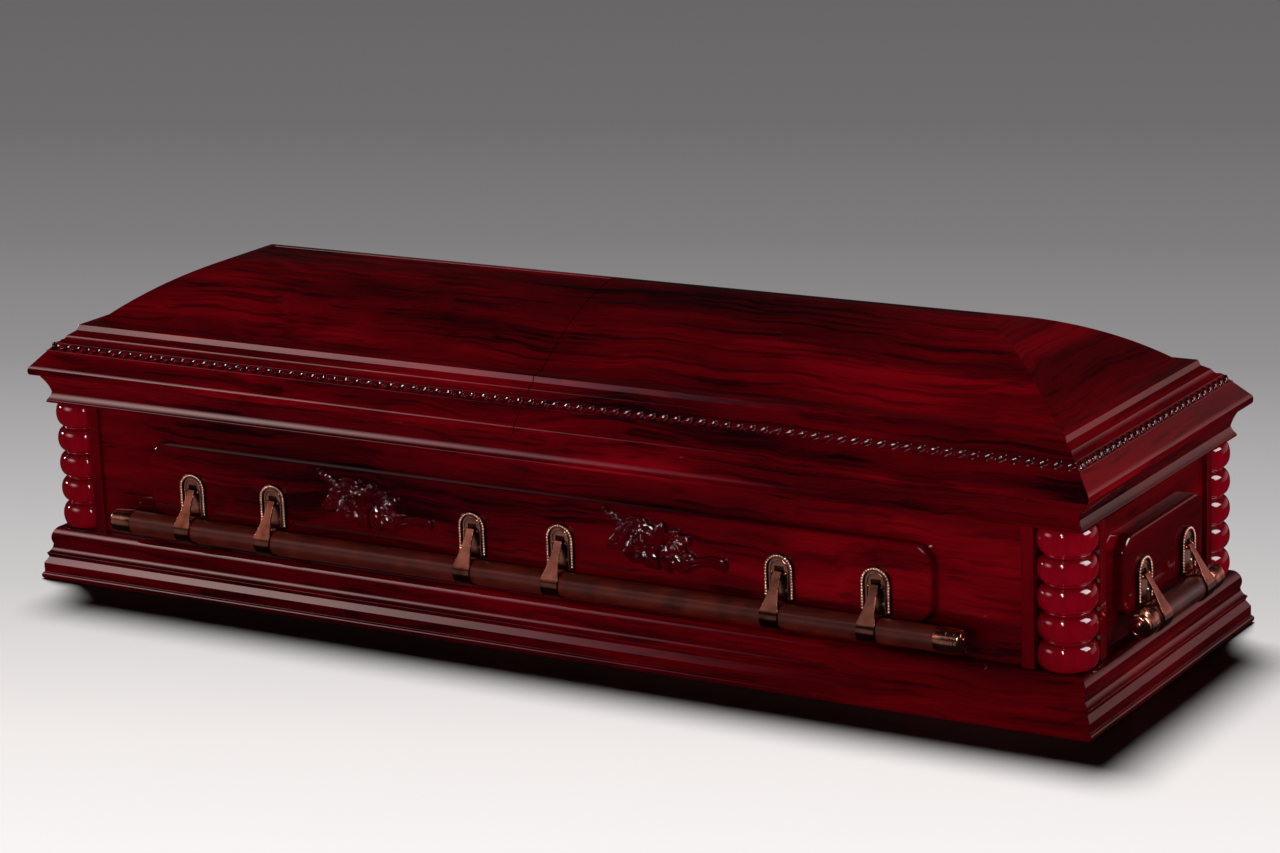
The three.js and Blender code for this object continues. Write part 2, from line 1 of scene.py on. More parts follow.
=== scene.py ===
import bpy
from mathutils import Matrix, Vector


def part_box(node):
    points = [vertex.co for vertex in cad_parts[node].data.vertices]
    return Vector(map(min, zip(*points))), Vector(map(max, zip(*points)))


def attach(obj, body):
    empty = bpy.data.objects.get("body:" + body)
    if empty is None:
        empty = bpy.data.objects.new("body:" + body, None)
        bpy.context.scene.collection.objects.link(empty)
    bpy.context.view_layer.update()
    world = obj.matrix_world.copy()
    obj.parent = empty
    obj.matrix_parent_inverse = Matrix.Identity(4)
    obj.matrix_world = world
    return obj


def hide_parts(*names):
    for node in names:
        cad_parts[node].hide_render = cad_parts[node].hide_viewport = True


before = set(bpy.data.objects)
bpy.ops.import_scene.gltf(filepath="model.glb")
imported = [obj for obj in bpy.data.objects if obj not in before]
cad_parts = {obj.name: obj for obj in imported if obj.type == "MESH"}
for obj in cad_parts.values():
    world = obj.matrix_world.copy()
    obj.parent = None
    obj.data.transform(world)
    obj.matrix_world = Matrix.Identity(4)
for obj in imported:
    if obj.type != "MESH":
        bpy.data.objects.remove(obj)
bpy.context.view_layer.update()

import math
import random

import bmesh
import bpy
from mathutils import Matrix, Vector

# a wooden funeral casket: X along it, the carved front towards -Y, Z up, metres
# sizes in the dictionaries are millimetres; "out" is the distance beyond the base's lower edge
mm = 0.001
scene = bpy.context.scene

baseLow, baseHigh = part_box("base_moulding_front")
footBulge = 4.4
halfLength = baseHigh.x / mm - footBulge + 0.15
halfDepth = -baseLow.y / mm - footBulge
fitGap = 0.3  # between pieces that lie against each other


# helpers
def toLinear(hexColour):
    channels = [int(hexColour[i:i + 2], 16) / 255 for i in (1, 3, 5)]
    return [c / 12.92 if c <= 0.04045 else ((c + 0.055) / 1.055) ** 2.4 for c in channels] + [1]


def addNode(tree, kind, settings=None, inputs=None, stops=None):
    node = tree.nodes.new(kind)
    for name, value in (settings or {}).items():
        setattr(node, name, value)
    for name, value in (inputs or {}).items():
        if isinstance(value, bpy.types.NodeSocket):
            tree.links.new(value, node.inputs[name])
        else:
            node.inputs[name].default_value = value
    for i, (place, colour) in enumerate(stops or []):
        elements = node.color_ramp.elements
        stop = elements[i] if i < 2 else elements.new(place)
        stop.position = place
        stop.color = colour
    return node


def newMaterial(name):
    material = bpy.data.materials.new(name)
    material.use_nodes = True
    tree = material.node_tree
    tree.nodes.clear()
    return material, tree


def meshObject(name, points, faces, material, body="casket", replaced=(), slot=None, sharp=28):
    mesh = bpy.data.meshes.new(name)
    mesh.from_pydata([[c * mm for c in p] for p in points], [], faces)
    return finishMesh(name, mesh, material, body, replaced, sharp)


def finishMesh(name, mesh, material, body="casket", replaced=(), sharp=28):
    work = bmesh.new()
    work.from_mesh(mesh)
    bmesh.ops.remove_doubles(work, verts=work.verts, dist=0.00001)
    bmesh.ops.recalc_face_normals(work, faces=work.faces)
    work.to_mesh(mesh)
    work.free()
    mesh.shade_smooth()
    mesh.set_sharp_from_angle(angle=math.radians(sharp))
    obj = bpy.data.objects.new(name, mesh)
    scene.collection.objects.link(obj)
    mesh.materials.append(material)
    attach(obj, body)
    if replaced:
        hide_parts(*replaced)
    return obj


# rounds a piece's sharp edges, but not those that lie on the plane x = crispX
def softEdges(obj, width, segments=2, angle=28, crispX=None):
    work = bmesh.new()
    work.from_mesh(obj.data)
    weights = work.edges.layers.float.new("bevel_weight_edge")
    for edge in work.edges:
        crisp = crispX is not None and all(abs(v.co.x - crispX * mm) < 0.0001 for v in edge.verts)
        edge[weights] = not crisp and edge.calc_face_angle(0) > math.radians(angle)
    work.to_mesh(obj.data)
    work.free()
    bevel = obj.modifiers.new("worn arrises", "BEVEL")
    bevel.width = width * mm
    bevel.segments = segments
    bevel.limit_method = "WEIGHT"
    bevel.harden_normals = True


# quads between rings of points that lie one after the other
def ringFaces(first, count, rings):
    return [(a + k, a + (k + 1) % count, a + count + (k + 1) % count, a + count + k)
            for a in range(first, first + (rings - 1) * count, count) for k in range(count)]


def barFaces(count):
    return ringFaces(0, count, 2) + [tuple(range(count)), tuple(range(count, 2 * count))[::-1]]


def stackFaces(count, rings):
    last = (rings - 1) * count
    ends = [tuple(range(count))[::-1], tuple(range(last, last + count))]
    return ringFaces(0, count, rings) + ends


# rings that close in a single top point
def domeFaces(first, count, rings):
    top = first + rings * count
    fan = [(top - count + k, top - count + (k + 1) % count, top) for k in range(count)]
    return ringFaces(first, count, rings) + fan + [tuple(range(first, first + count))[::-1]]


# arc to an end point; a positive bulge is on the right of the way there
def arcTo(outline, endX, endY, bulge, facets):
    startX, startY = outline[-1]
    chordX, chordY = endX - startX, endY - startY
    chord = math.hypot(chordX, chordY)
    halfAngle = 2 * math.atan(2 * abs(bulge) / chord)
    radius = chord / (2 * math.sin(halfAngle))
    for i in range(1, facets):
        angle = halfAngle * (2 * i / facets - 1)
        along = 0.5 + math.sin(angle) * radius / chord
        out = (math.cos(angle) - math.cos(halfAngle)) * radius * math.copysign(1, bulge) / chord
        outline.append((startX + chordX * along + chordY * out,
                        startY + chordY * along - chordX * out))
    outline.append((endX, endY))


def stepBy(outline, run, rise):
    outline.append((outline[-1][0] + run, outline[-1][1] + rise))


def arcBy(outline, run, rise, bulge, facets):
    arcTo(outline, outline[-1][0] + run, outline[-1][1] + rise, bulge, facets)


# the four sides: what is made for the front is turned about Z to the others
sides = {
    "front": {"turn": 0, "run": halfLength, "depth": halfDepth, "shift": -15},
    "right": {"turn": math.pi / 2, "run": halfDepth, "depth": halfLength, "shift": 0},
    "back": {"turn": math.pi, "run": halfLength, "depth": halfDepth, "shift": 15},
    "left": {"turn": -math.pi / 2, "run": halfDepth, "depth": halfLength, "shift": 0},
}


def isLong(side):
    return side in ("front", "back")


def sideSizes(side):
    return sides[side]["run"], sides[side]["depth"], sides[side]["turn"]


def turnedPoint(point, turn):
    cosTurn, sinTurn = round(math.cos(turn)), round(math.sin(turn))
    x, y, z = point
    return (x * cosTurn - y * sinTurn, x * sinTurn + y * cosTurn, z)


# materials
# rosewood veneer under sprayed and polished polyester lacquer: deep crimson with soft dark
# clouds, thin near-black lines along the board, and a hard clear gloss that mirrors the lamps
rosewood = {
    "streak": "#1d0003", "dark": "#420006", "middle": "#600009", "bright": "#88010f",
    "cloudMm": 60,  # width of the soft dark clouds across the board
    "bandMm": 18,  # width of the bands inside them
    "lineMm": 5,  # width of the thin dark lines
    "poreMm": 1.8,  # the real pores are finer, drawn coarser so that they show
    "cloudLength": 6, "bandLength": 15, "lineLength": 34, "poreLength": 30,  # times its width
    "waveMm": 16,  # how far the grain wanders across the board
    "meanTone": 0.53, "meanGrain": 0.845,  # the tones turn about their mean when contrast changes
}


def rosewoodMaterial(name, along, tone, seed, contrast=1.0, bright=rosewood["bright"]):
    material, tree = newMaterial(name)
    place = addNode(tree, "ShaderNodeTexCoord").outputs["Object"]
    wander = addNode(tree, "ShaderNodeTexNoise", {}, {"Vector": place, "Scale": 3.6, "Detail": 3})
    warp = addNode(tree, "ShaderNodeVectorMath", {"operation": "MULTIPLY_ADD"}, {
        0: wander.outputs["Color"], 1: [rosewood["waveMm"] * 4 * mm] * 3, 2: place})

    def grainNoise(kind, detail):
        stretch = [1, 1, 1]
        stretch["XYZ".index(along)] = 1 / rosewood[f"{kind}Length"]
        mapping = addNode(tree, "ShaderNodeMapping", {}, {
            "Vector": warp.outputs[0], "Scale": stretch,
            "Location": (seed, seed * 0.37, seed * 0.71)})
        return addNode(tree, "ShaderNodeTexNoise", {}, {
            "Vector": mapping.outputs[0], "Scale": 500 / rosewood[f"{kind}Mm"], "Detail": detail,
            "Roughness": 0.5}).outputs["Fac"]

    clouds, bands = grainNoise("cloud", 2), grainNoise("band", 3)
    lines, pores = grainNoise("line", 1), grainNoise("pore", 1)
    level = rosewood["meanTone"] - rosewood["meanGrain"] * contrast + tone
    for grain, weight in ((clouds, 1.0), (bands, 0.5), (pores, 0.18)):
        level = addNode(tree, "ShaderNodeMath", {"operation": "MULTIPLY_ADD"}, {
            0: grain, 1: weight * contrast, 2: level}).outputs[0]
    thin = addNode(tree, "ShaderNodeMapRange", {"interpolation_type": "SMOOTHSTEP"}, {
        "Value": lines, "From Min": 0.5, "From Max": 0.32, "To Min": 0, "To Max": 0.13 * contrast})
    level = addNode(tree, "ShaderNodeMath", {"operation": "SUBTRACT"}, {
        0: level, 1: thin.outputs[0]})
    colour = addNode(tree, "ShaderNodeValToRGB", {}, {"Fac": level.outputs[0]}, [
        (0.28, toLinear(rosewood["streak"])), (0.80, toLinear(bright)),
        (0.42, toLinear(rosewood["dark"])), (0.60, toLinear(rosewood["middle"]))])
    bump = addNode(tree, "ShaderNodeBump", {}, {
        "Strength": 0.04, "Distance": 0.0003, "Height": pores})
    shader = addNode(tree, "ShaderNodeBsdfPrincipled", {}, {
        "Base Color": colour.outputs["Color"], "Roughness": 0.5, "IOR": 1.5,
        "Specular IOR Level": 0.0, "Normal": bump.outputs[0], "Coat Weight": 1.0,
        "Coat Roughness": 0.04, "Coat IOR": 1.55})
    addNode(tree, "ShaderNodeOutputMaterial", {}, {"Surface": shader.outputs[0]})
    return material


woodAlongX = rosewoodMaterial("lacqueredRosewoodLong", "X", 0.0, 0.0)
endBoardWood = rosewoodMaterial("lacqueredRosewoodEndBoard", "Y", 0.04, 6.1, 0.5)
woodAlongY = rosewoodMaterial("lacqueredRosewoodEnd", "Y", 0.02, 3.1)
stripWood = rosewoodMaterial("lacqueredRosewoodStrip", "Z", 0.08, 6.3, 0.5)
lidAlongX = rosewoodMaterial("lacqueredRosewoodLidLong", "X", 0.02, 2.9, 1.3)
lidAlongY = rosewoodMaterial("lacqueredRosewoodLidEnd", "Y", 0.1, 9.3, 0.9)
columnWood = rosewoodMaterial("lacqueredTurnedWood", "Z", 0.14, 5.2, 0.12, "#c00826")
carvedWood = rosewoodMaterial("lacqueredCarvedWood", "X", -0.11, 11.4, 0.4)


def boardWood(side):
    return woodAlongX if isLong(side) else woodAlongY


# antique copper plate on die-cast zinc: pinkish and polished where hands and cloths reach,
# brown-black in the recesses, where the patina is left on
copperPlate = {"patchMm": 22, "scratchMm": 1.2}


def copperMaterial(name, bright, dark, roughness):
    material, tree = newMaterial(name)
    place = addNode(tree, "ShaderNodeTexCoord").outputs["Object"]
    patch = addNode(tree, "ShaderNodeTexNoise", {}, {
        "Vector": place, "Scale": 1000 / copperPlate["patchMm"], "Detail": 4})
    scratch = addNode(tree, "ShaderNodeTexNoise", {}, {
        "Vector": place, "Scale": 1000 / copperPlate["scratchMm"], "Detail": 2})
    colour = addNode(tree, "ShaderNodeValToRGB", {}, {"Fac": patch.outputs["Fac"]}, [
        (0.3, toLinear(dark)), (0.6, toLinear(bright))])
    rough = addNode(tree, "ShaderNodeMapRange", {}, {
        "Value": scratch.outputs["Fac"], "To Min": roughness * 0.8, "To Max": roughness * 1.3})
    shader = addNode(tree, "ShaderNodeBsdfPrincipled", {}, {
        "Base Color": colour.outputs["Color"], "Roughness": rough.outputs[0], "Metallic": 1.0})
    addNode(tree, "ShaderNodeOutputMaterial", {}, {"Surface": shader.outputs[0]})
    return material


copper = copperMaterial("antiqueCopperPlate", "#c27f6d", "#8c5346", 0.2)
brightCopper = copperMaterial("rubbedCopperPlate", "#e8b09a", "#c58570", 0.16)
beadCopper = copperMaterial("castCopperBeads", "#f2c3ae", "#c58570", 0.42)
armCopper = copperMaterial("handledCopperPlate", "#95594a", "#64382e", 0.18)
# this dark copper is real patina on the lug borders and painted shade on the sheet behind each
# lug's slot
patinaAndShadeCopper = copperMaterial("patinaAndPaintedShadeCopperPlate", "#5e3830", "#2c1815", 0.3)

# brown stoved enamel on drawn steel tube: satin, so the highlight is long and soft
enamelTube = {"bright": "#5c180d", "dark": "#380c07", "streakMm": 40}


def enamelMaterial(name):
    material, tree = newMaterial(name)
    place = addNode(tree, "ShaderNodeTexCoord").outputs["Object"]
    streak = addNode(tree, "ShaderNodeTexNoise", {}, {
        "Vector": place, "Scale": 1000 / enamelTube["streakMm"], "Detail": 4})
    colour = addNode(tree, "ShaderNodeValToRGB", {}, {"Fac": streak.outputs["Fac"]}, [
        (0.3, toLinear(enamelTube["dark"])), (0.7, toLinear(enamelTube["bright"]))])
    orangePeel = addNode(tree, "ShaderNodeTexNoise", {}, {
        "Vector": place, "Scale": 700, "Detail": 1})
    bump = addNode(tree, "ShaderNodeBump", {}, {
        "Strength": 0.06, "Distance": 0.0003, "Height": orangePeel.outputs["Fac"]})
    shader = addNode(tree, "ShaderNodeBsdfPrincipled", {}, {
        "Base Color": colour.outputs["Color"], "Roughness": 0.3, "IOR": 1.5,
        "Normal": bump.outputs[0]})
    addNode(tree, "ShaderNodeOutputMaterial", {}, {"Surface": shader.outputs[0]})
    return material


brownEnamel = enamelMaterial("stovedBrownEnamel")

# polished nickel-plated steel for the screw heads
screwSteel, tree = newMaterial("polishedScrewSteel")
screwNoise = addNode(tree, "ShaderNodeTexNoise", {}, {"Scale": 400, "Detail": 2})
screwRough = addNode(tree, "ShaderNodeMapRange", {}, {
    "Value": screwNoise.outputs["Fac"], "To Min": 0.12, "To Max": 0.3})
screwShader = addNode(tree, "ShaderNodeBsdfPrincipled", {}, {
    "Base Color": toLinear("#c9c0a8"), "Metallic": 1.0, "Roughness": screwRough.outputs[0]})
addNode(tree, "ShaderNodeOutputMaterial", {}, {"Surface": screwShader.outputs[0]})
print("materials made")


# mouldings
def mitredMoulding(name, outline, side, material, gap, **kept):
    run, depth, turn = sideSizes(side)
    points = [turnedPoint((end * (run + out - gap / 2), -depth - out, height), turn)
              for end in (-1, 1) for out, height in outline]
    return meshObject(name, points, barFaces(len(outline)), material, **kept)


base = {
    "bead": (13.2, 4.4), "face": 16.6, "slope": (-7.2, 11.6), "fillet": (2.9, 7),
    "cove": (-9.6, 17, -2.6), "torus": (-8, 30.6, 5.5), "depth": 58, "floor": 18, "rebate": 22,
    "gap": 0.3, "edge": 0.9,
}
baseRise = 96


def baseOutline():
    outline = [(0, 0)]
    arcBy(outline, 0, base["bead"][0], base["bead"][1], 12)
    stepBy(outline, 0, base["face"])
    stepBy(outline, *base["slope"])
    stepBy(outline, *base["fillet"])
    arcBy(outline, *base["cove"], 10)
    arcBy(outline, *base["torus"], 16)
    outline.append((base["rebate"] - base["depth"], baseRise))
    stepBy(outline, 0, -base["floor"] - base["gap"])
    outline.append((-base["depth"], baseRise - base["floor"] - base["gap"]))
    outline.append((-base["depth"], 0))
    return outline


for side in sides:
    moulding = mitredMoulding(
        f"base_{side}", baseOutline(), side, boardWood(side), base["gap"],
        replaced=[f"base_moulding_{side}"], slot="lacquered_wood")
    softEdges(moulding, base["edge"])
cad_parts["floor_board"].data.materials.clear()
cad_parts["floor_board"].data.materials.append(woodAlongX)
print("base made")

cornice = {
    "tip": -19.5, "fillet": 4, "flare": (-7.8, 15, -1), "rake": (13, 29.2, -1.6), "lip": 6,
    "gap": 0.3, "edge": 0.9,
}
wallRise = 237
corniceBottom = baseRise + wallRise
corniceRise = cornice["fillet"] + cornice["flare"][1] + cornice["rake"][1] + cornice["lip"]
corniceTop = corniceBottom + corniceRise


# the cornice is wide at the corners, where it covers the columns, and narrow between them
def corniceMoulding(side):
    outline = [(cornice["tip"], corniceBottom)]
    stepBy(outline, 0, cornice["fillet"])
    arcBy(outline, *cornice["flare"], 8)
    arcBy(outline, *cornice["rake"], 10)
    stepBy(outline, 0, cornice["lip"])
    run, depth, turn = sideSizes(side)
    recess = wall["recess"] + wall["thickness"]
    inner = wall["setback"] + wall["thickness"]
    # plan of the inner edge for a long side, from its left mitre to its right one
    long = [(-run + recess, -depth + recess), (-run + recess, -depth + inner),
            (run - recess, -depth + inner), (run - recess, -depth + recess)]
    count = len(outline)
    points = [(end * (run + out - cornice["gap"] / 2), -depth - out, height)
              for end in (-1, 1) for out, height in outline]
    points += [(x, y, height) for height in (corniceBottom, corniceTop) for x, y in long]
    low, high = range(2 * count, 2 * count + 4), range(2 * count + 4, 2 * count + 8)
    faces = [(i, i + 1, count + i + 1, count + i) for i in range(count - 1)]
    lastLeft, lastRight = count - 1, 2 * count - 1
    faces += [(0, count, low[3], low[2], low[1], low[0]),
              (lastLeft, high[0], high[1], high[2], high[3], lastRight)]
    faces += [(low[i], low[i + 1], high[i + 1], high[i]) for i in range(3)]
    faces += [tuple(range(count)) + (high[0], low[0]),
              tuple(range(2 * count - 1, count - 1, -1)) + (low[3], high[3])]
    points = [turnedPoint(p, turn) for p in points]
    obj = meshObject(f"cornice_moulding_{side}", points, faces, boardWood(side),
                     replaced=[f"cornice_{side}"], slot="lacquered_wood")
    softEdges(obj, cornice["edge"])


wall = {
    "setback": 36, "thickness": 20, "strip": 22, "proud": 8, "recess": 107, "seat": 0.3,
    "edge": 0.7, "stripEdge": 1.2,
}
for side in sides:
    corniceMoulding(side)
print("cornice made")


# walls
board = {"proud": 19, "round": 6, "corner": 36, "lift": 53, "rise": 132, "long": 1570, "short": 320}
boardOut = board["proud"] - wall["setback"]


def prism(name, plan, low, high, turn, material, **kept):
    points = [turnedPoint((x, y, z), turn) for z in (low, high) for x, y in plan]
    return meshObject(name, points, barFaces(len(plan)), material, **kept)


def roundedRectangle(halfX, halfY, radius, steps):
    loop = []
    for cornerX, cornerY, start in ((1, -1, -90), (1, 1, 0), (-1, 1, 90), (-1, -1, 180)):
        for i in range(steps + 1):
            angle = math.radians(start + 90 * i / steps)
            loop.append((cornerX * (halfX - radius) + radius * math.cos(angle),
                         cornerY * (halfY - radius) + radius * math.sin(angle)))
    return loop


def raisedBoard(side, material):
    length = board["long"] if isLong(side) else board["short"]
    shift, depth, turn = sides[side]["shift"], sides[side]["depth"], sides[side]["turn"]
    middle = baseRise + board["lift"] + board["rise"] / 2
    face = -depth + wall["setback"]
    levels = [(0, 0.2), (0, board["proud"] - board["round"])]
    arcTo(levels, board["round"], board["proud"], -board["round"] * (1 - math.sqrt(0.5)), 7)
    points, steps = [], 14
    for inset, height in levels:
        for x, z in roundedRectangle(length / 2 - inset, board["rise"] / 2 - inset,
                                     board["corner"] - inset, steps):
            points.append(turnedPoint((shift + x, face - height, middle + z), turn))
    meshObject(f"raised_board_{side}", points, stackFaces(4 * (steps + 1), len(levels)), material,
               slot="lacquered_wood", sharp=35)


for side in sides:
    run, depth, turn = sideSizes(side)
    face = -depth + wall["setback"]
    back = face + wall["thickness"]
    edge = run - wall["recess"]
    inside = edge - wall["thickness"]
    returnEnd = -depth + wall["recess"] - (wall["seat"] if isLong(side) else -wall["thickness"])
    plan = [(-edge, face), (edge, face), (edge, returnEnd), (inside, returnEnd), (inside, back),
            (-inside, back), (-inside, returnEnd), (-edge, returnEnd)]
    low, high = baseRise + wall["seat"], baseRise + wallRise - wall["seat"]
    node = f"side_wall_{side}" if isLong(side) else f"end_wall_{side}"
    panel = prism(f"wall_panel_{side}", plan, low, high, turn, boardWood(side),
                  replaced=[node], slot="lacquered_wood")
    softEdges(panel, wall["edge"])
    for end, word in ((-1, "left"), (1, "right")):
        inner, outer = end * (edge - wall["strip"]), end * edge
        strip = prism(f"wall_strip_{side}_{word}",
                      [(inner, face - wall["proud"]), (outer, face - wall["proud"]),
                       (outer, face - 0.1), (inner, face - 0.1)],
                      low, high, turn, stripWood, slot="column_wood")
        softEdges(strip, wall["stripEdge"])
    raisedBoard(side, woodAlongX if isLong(side) else endBoardWood)
print("walls made")


# corner columns
column = {"setback": 66, "radius": 49.5, "neck": 36, "neckRise": 5, "neckBead": 1.6, "bulges": 5,
          "fullness": 0.95, "bulgeSteps": 16, "beadSteps": 6, "turns": 72}


def cornerColumn(signX, signY):
    rise = wallRise - 2 * wall["seat"]
    bulgeRise = rise / column["bulges"]
    outline = []
    for i in range(column["bulges"]):
        bottom = i * bulgeRise + (0 if i == 0 else column["neckRise"] / 2)
        top = (i + 1) * bulgeRise - (0 if i == column["bulges"] - 1 else column["neckRise"] / 2)
        outline.append((column["neck"], bottom))
        # fuller than a circle's arc, as turned with a round gouge
        middle, half = (bottom + top) / 2, (top - bottom) / 2
        reach = column["radius"] - column["neck"]
        for k in range(1, column["bulgeSteps"]):
            angle = math.pi * k / column["bulgeSteps"]
            outline.append((column["neck"] + reach * math.sin(angle) ** column["fullness"],
                            middle - half * math.cos(angle)))
        outline.append((column["neck"], top))
        if i < column["bulges"] - 1:  # a thin bead in the neck
            for k in range(1, column["beadSteps"]):
                share = k / column["beadSteps"]
                outline.append((column["neck"] + column["neckBead"] * math.sin(math.pi * share),
                                top + column["neckRise"] * share))
    points, turns = [], column["turns"]
    for radius, height in outline:
        for k in range(turns):
            angle = 2 * math.pi * k / turns
            points.append((radius * math.cos(angle), radius * math.sin(angle), height))
    words = f"{'front' if signY < 0 else 'back'}_{'right' if signX > 0 else 'left'}"
    mesh = bpy.data.meshes.new(f"turned_column_{words}")
    centre = Vector((signX * (halfLength - column["setback"]),
                     signY * (halfDepth - column["setback"]), baseRise + wall["seat"])) * mm
    mesh.from_pydata([[c * mm for c in p] for p in points], [], stackFaces(turns, len(outline)))
    work = bmesh.new()
    work.from_mesh(mesh)
    flat = (wall["recess"] - column["setback"] - wall["seat"]) * mm
    # the column is cut flat where it stands against the two walls
    for normal in (Vector((-signX, 0, 0)), Vector((0, -signY, 0))):
        cut = bmesh.ops.bisect_plane(work, geom=work.verts[:] + work.edges[:] + work.faces[:],
                                     plane_co=normal * flat, plane_no=normal, clear_outer=True)
        edges = [e for e in cut["geom_cut"] if isinstance(e, bmesh.types.BMEdge)]
        bmesh.ops.edgeloop_fill(work, edges=edges)
    bmesh.ops.translate(work, verts=work.verts, vec=centre)
    work.to_mesh(mesh)
    work.free()
    finishMesh(f"turned_column_{words}", mesh, columnWood,
               replaced=[f"corner_column_{words}"], sharp=50)


for signX in (-1, 1):
    for signY in (-1, 1):
        cornerColumn(signX, signY)
print("columns made")


# lid
lid = {
    "reach": 0.2, "rim": (13.4, 1.3), "groove": (-4.5, 4.9), "bevel": (-21.4, 23.2),
    "rope": (-12.4, 13.6), "step": (-14.3, 11.6, -2.2), "apron": (-13.1, 8), "ledge": (-3.7, 10.1),
    "ledgeTop": (-26.3, 3.7), "crown": (110, 16.6), "thickness": 18, "rimThickness": 58, "seam": 2,
    "edge": 0.8,
}
lidBottom = corniceTop + fitGap


def lidOutline():
    outline = [(lid["reach"], lidBottom)]
    arcBy(outline, 0, lid["rim"][0], lid["rim"][1], 8)
    stepBy(outline, *lid["groove"])
    stepBy(outline, *lid["bevel"])
    stepBy(outline, *lid["rope"])
    arcBy(outline, *lid["step"], 10)
    stepBy(outline, *lid["apron"])
    stepBy(outline, *lid["ledge"])
    stepBy(outline, *lid["ledgeTop"])
    return outline


lidLine = lidOutline()
crownFoot = lidLine[-1]
ridgeHeight = crownFoot[1] + lid["crown"][0]


def lidSection():
    outline = list(lidLine)
    arcTo(outline, -halfDepth, ridgeHeight, lid["crown"][1], 20)
    slope = math.atan2(lid["crown"][0], halfDepth + crownFoot[0])
    inner = [(-lid["rimThickness"], lidBottom),
             (-lid["rimThickness"], lidBottom + lid["rim"][0] + lid["groove"][1]),
             (crownFoot[0] - lid["thickness"] * math.sin(slope),
              crownFoot[1] - lid["thickness"] * math.cos(slope))]
    arcTo(inner, -halfDepth, ridgeHeight - lid["thickness"] / math.cos(slope), lid["crown"][1], 12)
    return outline + inner[::-1]


section = lidSection()
for half, sign in (("left", -1), ("right", 1)):
    points, faces = [], []
    for out, height in section:
        y, x = halfDepth + out, halfLength + out
        near = sign * lid["seam"] / 2
        far = sign * x
        points += [(near, -y, height), (far, -y, height), (far, y, height), (near, y, height)]
    count = len(section)
    for i in range(count):
        a, b = 4 * i, 4 * ((i + 1) % count)
        faces += [(a + k, a + k + 1, b + k + 1, b + k) for k in range(3)]
    faces.append(tuple(4 * i for i in range(count)))
    faces.append(tuple(4 * i + 3 for i in range(count)))
    shell = meshObject(f"lid_shell_{half}", points, faces, lidAlongX,
                       replaced=[f"lid_half_{half}"], slot="lacquered_wood", sharp=24)
    shell.data.materials.append(lidAlongY)
    for polygon in shell.data.polygons:
        if abs(polygon.normal.x) > abs(polygon.normal.y) and abs(polygon.center.x) > 0.6:
            polygon.material_index = 1
    softEdges(shell, lid["edge"], angle=24, crispX=sign * lid["seam"] / 2)
print("lid made")

# twisted rope carved round the lid: leaning lobes between two thin fillets
rope = {"pitch": 23.6, "long": 21, "wide": 10.4, "high": 6.2, "lean": 33, "middle": 9.2,
        "foot": -12, "across": 24, "rings": 6, "ridge": 0.12, "ridges": 6,
        "fillet": 1.3, "fillets": (0.6, 17.8), "filletSteps": 6, "filletSunk": 0.2}
bandFoot, bandTop = lidLine[10], lidLine[11]
bandWidth = math.dist(bandFoot, bandTop)
upBand = ((bandTop[0] - bandFoot[0]) / bandWidth, (bandTop[1] - bandFoot[1]) / bandWidth)
offBand = (upBand[1], -upBand[0])


def onBand(along, up, off, side):
    out = bandFoot[0] + upBand[0] * up + offBand[0] * off
    height = bandFoot[1] + upBand[1] * up + offBand[1] * off
    return turnedPoint((along, -sides[side]["depth"] - out, height), sides[side]["turn"])


def ropeLobes(name, side, places):
    points, faces = [], []
    lean, across, rings = math.radians(rope["lean"]), rope["across"], rope["rings"]
    for place in places:
        first = len(points)
        for ring in range(rings + 1):
            rise = math.radians(rope["foot"] + (90 - rope["foot"]) * ring / rings)
            for k in range(across if ring < rings else 1):
                angle = 2 * math.pi * k / across
                # shallow ridges run down each lobe
                wave = math.cos(rope["ridges"] * angle) * math.sin(2 * max(0, rise))
                ridge = 1 + rope["ridge"] * wave
                a = rope["long"] / 2 * math.cos(angle) * math.cos(rise) * ridge
                b = rope["wide"] / 2 * math.sin(angle) * math.cos(rise) * ridge
                points.append(onBand(place + a * math.cos(lean) - b * math.sin(lean),
                                     rope["middle"] + a * math.sin(lean) + b * math.cos(lean),
                                     rope["high"] * math.sin(rise), side))
        faces += domeFaces(first, across, rings)
    meshObject(name, points, faces, carvedWood, slot="lacquered_wood", sharp=60)


for side in sides:
    run = sides[side]["run"] + (bandFoot[0] + bandTop[0]) / 2
    count = 2 * round(run / rope["pitch"])
    step = 2 * run / count
    places = [(i - (count - 1) / 2) * step for i in range(count)]
    if isLong(side):
        ropeLobes(f"rope_{side}_left", side, places[:count // 2])
        ropeLobes(f"rope_{side}_right", side, places[count // 2:])
    else:
        ropeLobes(f"rope_{side}", side, places)
    for number, up in enumerate(rope["fillets"], 1):
        points, steps = [], rope["filletSteps"]
        for end in (-1, 1):
            for k in range(steps + 1):
                angle = math.pi * k / steps
                across = up + rope["fillet"] * math.cos(angle)
                off = rope["fillet"] * math.sin(angle) - rope["filletSunk"]
                out = bandFoot[0] + upBand[0] * across + offBand[0] * off
                points.append(onBand(end * (sides[side]["run"] + out), across, off, side))
        meshObject(f"rope_fillet_{side}_{number}", points, barFaces(steps + 1),
                   lidAlongX if isLong(side) else lidAlongY, slot="lacquered_wood")
print("rope moulding made")

# swing bars: enamelled tube with a turned copper tip at each end
bar = {"radius": 21, "tip": 50, "sideLength": 1712, "endLength": 322, "clear": 1, "turns": 48}
lug = {"width": 54, "rise": 78, "inset": 9, "plate": 3, "pivotRise": 45, "pivotProud": 2.7,
       "groups": 598, "pair": 177}
lugBottom = baseRise + board["lift"] + lug["inset"]
pivotHeight = lugBottom + lug["pivotRise"]
pivotOut = boardOut + fitGap + lug["plate"] + lug["pivotProud"]
barOut = boardOut + bar["radius"] + bar["clear"] + fitGap
barHeight = lugBottom - bar["radius"]
